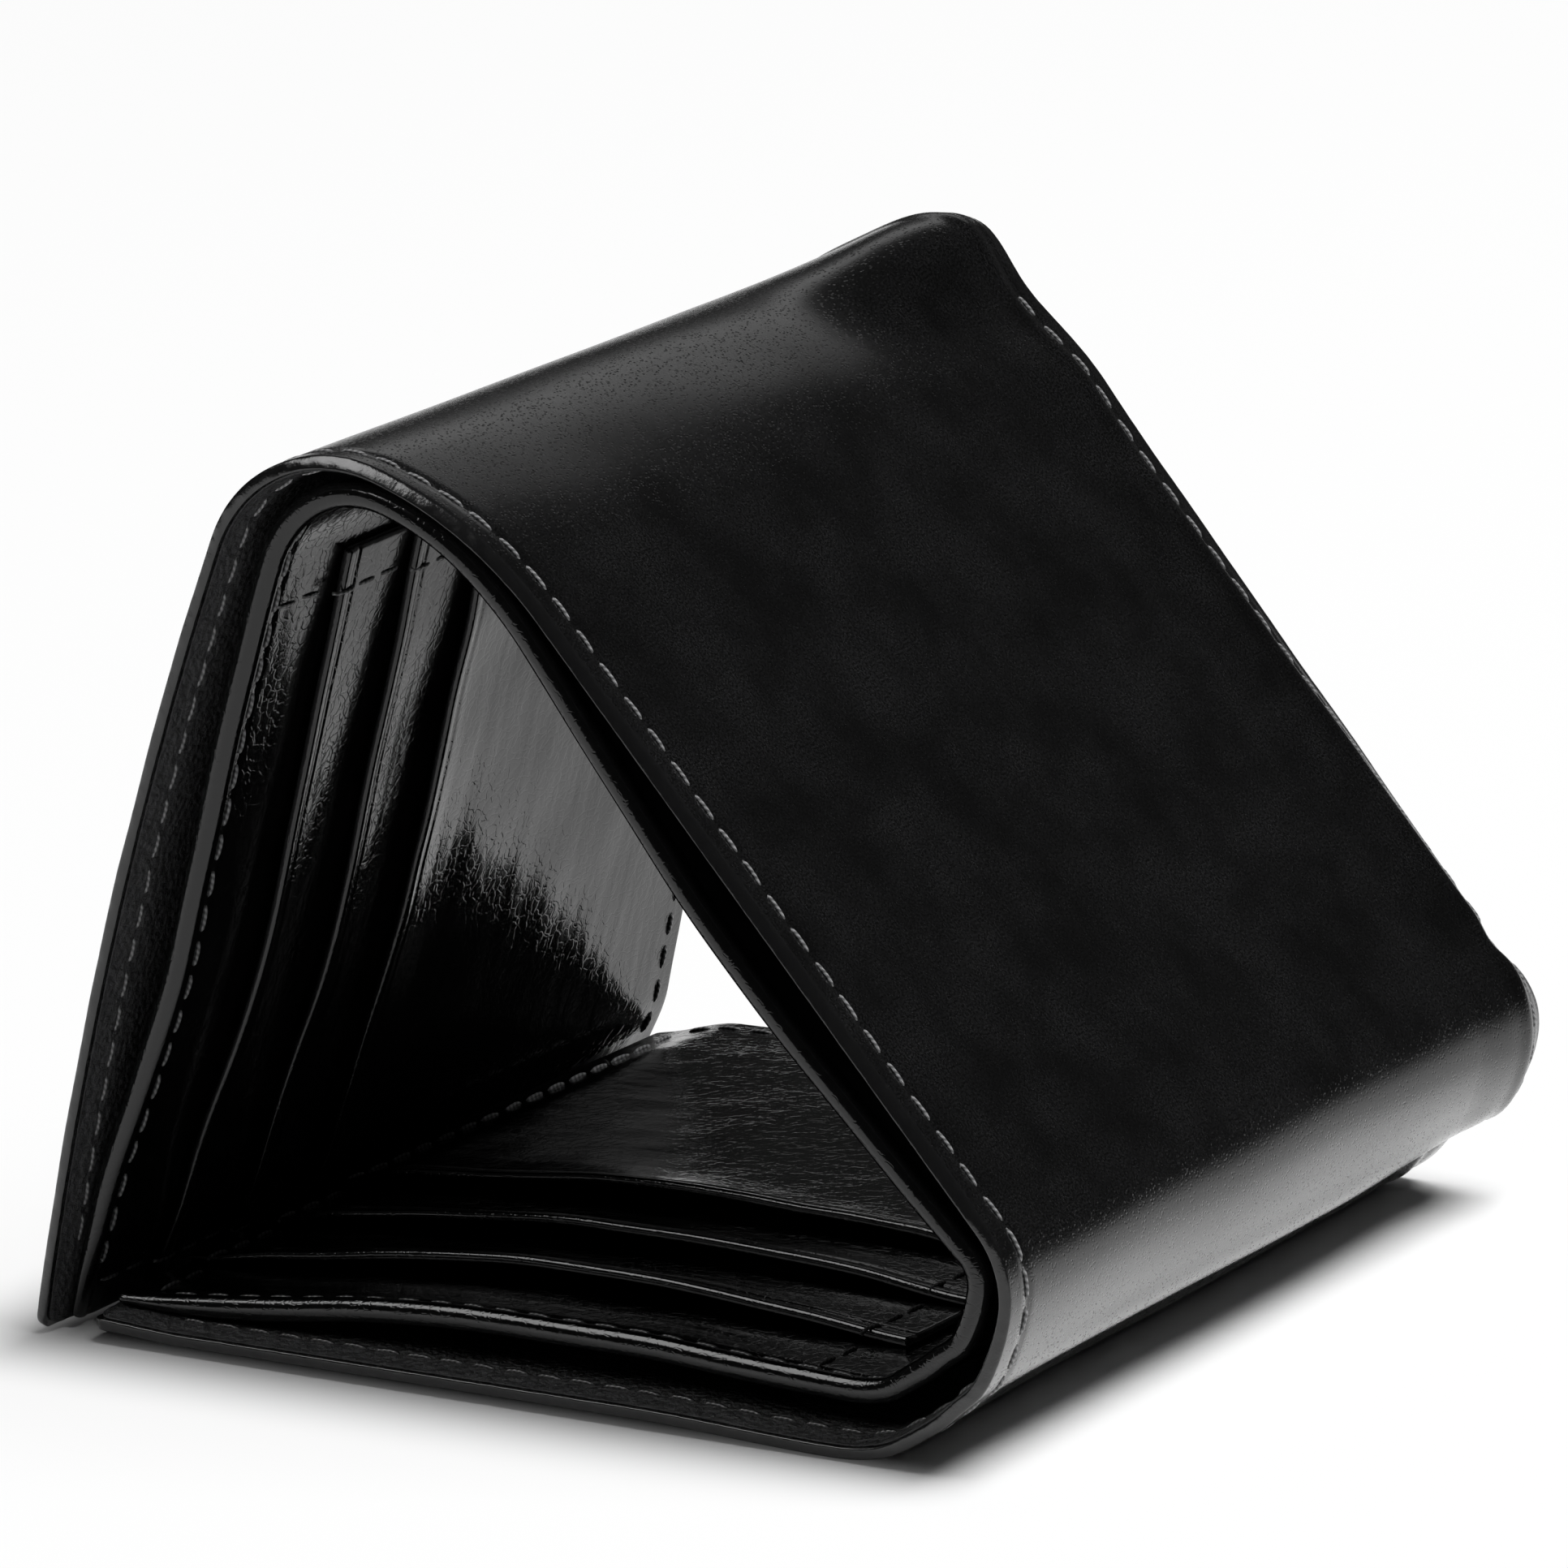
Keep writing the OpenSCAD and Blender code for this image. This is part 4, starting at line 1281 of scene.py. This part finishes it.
class WALLET_OT_stage(bpy.types.Operator):
    """White floor, soft studio light and the camera"""

    bl_idname = "wallet.stage"
    bl_label = "Stage"

    def floor_finish(self, stage):
        """Matt white that keeps the wallet's shadow and turns to plain white away from it"""
        shade = Shade("White floor")
        lo, hi = (Vector(corner) for corner in cad_box)
        inside = Vector((4 * MM, 4 * MM, 0.0))
        place = shade.add("ShaderNodeTexCoord").outputs["Object"]
        apart = shade.vector("ABSOLUTE", shade.vector("SUBTRACT", place, (lo + hi) / 2))
        apart = shade.vector("SUBTRACT", apart, (hi - lo) / 2 - inside)
        apart = shade.vector("MAXIMUM", shade.vector("MULTIPLY", apart, (1.0, 1.0, 0.0)))
        far = shade.vector("LENGTH", apart, out="Value")
        path = shade.add("ShaderNodeLightPath").outputs
        near = stage.shade_reach
        reach = shade.math("MULTIPLY_ADD", path["Is Glossy Ray"], near, near)
        clear = shade.add(
            "ShaderNodeMapRange",
            {"Value": far, "From Min": 0.0, "From Max": reach, "To Max": stage.glow},
            interpolation_type="SMOOTHSTEP",
        ).outputs[0]
        seen = shade.math("ADD", path["Is Camera Ray"], path["Is Glossy Ray"])
        seen = shade.math("MINIMUM", shade.math("ADD", seen, path["Is Transmission Ray"]), 1.0)
        matt = shade.add("ShaderNodeBsdfDiffuse", {"Color": (*stage.floor, 1.0)}).outputs[0]
        # In gloss the table dims towards the right
        rightward, dim_from = (0.858, 0.513, 0.0), 0.03
        across = shade.vector("DOT_PRODUCT", place, rightward, out="Value")
        dim = shade.spread(across, dim_from, dim_from + stage.reach, 0.72, 0.06)
        strength = shade.math("MAXIMUM", path["Is Camera Ray"], dim)
        white = shade.add("ShaderNodeEmission", {"Strength": strength}).outputs[0]
        seen = shade.math("MULTIPLY", seen, clear)
        mix = shade.add("ShaderNodeMixShader", {0: seen, 1: matt, 2: white})
        shade.tree.links.new(mix.outputs[0], shade.out.inputs["Surface"])
        return shade.material

    def lamp(self, name, power, wide, high, place, matt=True, glossy=True):
        light = bpy.data.lights.new(name, "AREA")
        light.shape = "RECTANGLE"
        light.size, light.size_y = wide, high
        light.energy = power
        holder = bpy.data.objects.new(name, light)
        holder.location = place
        target = Vector((0.0, 0.0, 0.04))
        way = target - Vector(place)
        holder.rotation_euler = way.to_track_quat("-Z", "Y").to_euler()
        holder.visible_diffuse, holder.visible_glossy = matt, glossy
        bpy.context.scene.collection.objects.link(holder)

    def execute(self, context):
        scene = context.scene
        stage = scene.wallet_stage
        half, ground = 5.0, -0.0002
        corners = [(-half, -half), (half, -half), (half, half), (-half, half)]
        mesh = bpy.data.meshes.new("floor")
        mesh.from_pydata([(x, y, ground) for x, y in corners], [], [(0, 1, 2, 3)])
        mesh.materials.append(self.floor_finish(stage))
        floor = bpy.data.objects.new("floor", mesh)
        scene.collection.objects.link(floor)

        self.lamp("key_light", stage.key_power, 1.0, 1.0, (0.88, 0.3, 1.76), glossy=False)
        self.lamp("front_light", stage.front_power, 1.5, 1.5, (-1.1, -1.1, 1.9), matt=False)
        self.lamp("left_light", stage.left_power, 1.3, 0.5, (-0.85, 1.6, 1.1))

        world = bpy.data.worlds.new("Studio")
        world.use_nodes = True
        tree = world.node_tree
        path = add_node(tree, "ShaderNodeLightPath").outputs["Is Glossy Ray"]
        level = {0: path, 1: stage.sheen, 2: stage.world}
        level = add_node(tree, "ShaderNodeMath", level, operation="MULTIPLY_ADD").outputs[0]
        sky = tree.nodes["Background"]
        sky.inputs["Color"].default_value = (1, 1, 1, 1)
        tree.links.new(level, sky.inputs["Strength"])
        scene.world = world

        lens = bpy.data.cameras.new("camera")
        lens.sensor_fit = "HORIZONTAL"
        lens.sensor_width = 36.0
        lens.lens = stage.focal
        lens.clip_start, lens.clip_end = 0.05, 50.0
        camera = bpy.data.objects.new("camera", lens)
        turn = Matrix.Rotation(stage.yaw, 4, "Z")
        turn = turn @ Matrix.Rotation(math.pi / 2 + stage.pitch, 4, "X")
        turn = turn @ Matrix.Rotation(stage.roll, 4, "Z")
        camera.matrix_world = Matrix.Translation(Vector(stage.place)) @ turn
        scene.collection.objects.link(camera)
        scene.camera = camera
        scene.view_settings.view_transform = "Standard"
        return {"FINISHED"}


class WALLET_PT_panel(bpy.types.Panel):
    """Pieces of the wallet and their sizes"""

    bl_idname = "WALLET_PT_panel"
    bl_label = "Trifold wallet"
    bl_space_type = "VIEW_3D"
    bl_region_type = "UI"
    bl_category = "Wallet"

    def draw(self, context):
        layout = self.layout
        for operator in OPERATORS:
            layout.operator(operator.bl_idname)
        for group in GROUPS:
            box = layout.box()
            box.label(text=group.__doc__)
            settings = getattr(context.scene, GROUPS[group])
            for key in group.__annotations__:
                box.prop(settings, key)


GROUPS = {
    WalletSection: "wallet_section",
    WalletLeather: "wallet_leather",
    WalletSeams: "wallet_seams",
    WalletFinish: "wallet_finish",
    WalletStage: "wallet_stage",
}
OPERATORS = [
    WALLET_OT_cover,
    WALLET_OT_lining,
    WALLET_OT_divider,
    WALLET_OT_slots,
    WALLET_OT_stitches,
    WALLET_OT_stage,
]


def register():
    for group, key in GROUPS.items():
        bpy.utils.register_class(group)
        setattr(bpy.types.Scene, key, bpy.props.PointerProperty(type=group))
    for item in [*OPERATORS, WALLET_PT_panel]:
        bpy.utils.register_class(item)


def unregister():
    for item in reversed([*OPERATORS, WALLET_PT_panel]):
        bpy.utils.unregister_class(item)
    for group, key in reversed(list(GROUPS.items())):
        delattr(bpy.types.Scene, key)
        bpy.utils.unregister_class(group)


def main():
    register()
    bpy.ops.wallet.cover()
    bpy.ops.wallet.lining()
    bpy.ops.wallet.divider()
    bpy.ops.wallet.slots()
    bpy.ops.wallet.stitches()
    bpy.ops.wallet.stage()


if __name__ == "__main__":
    main()
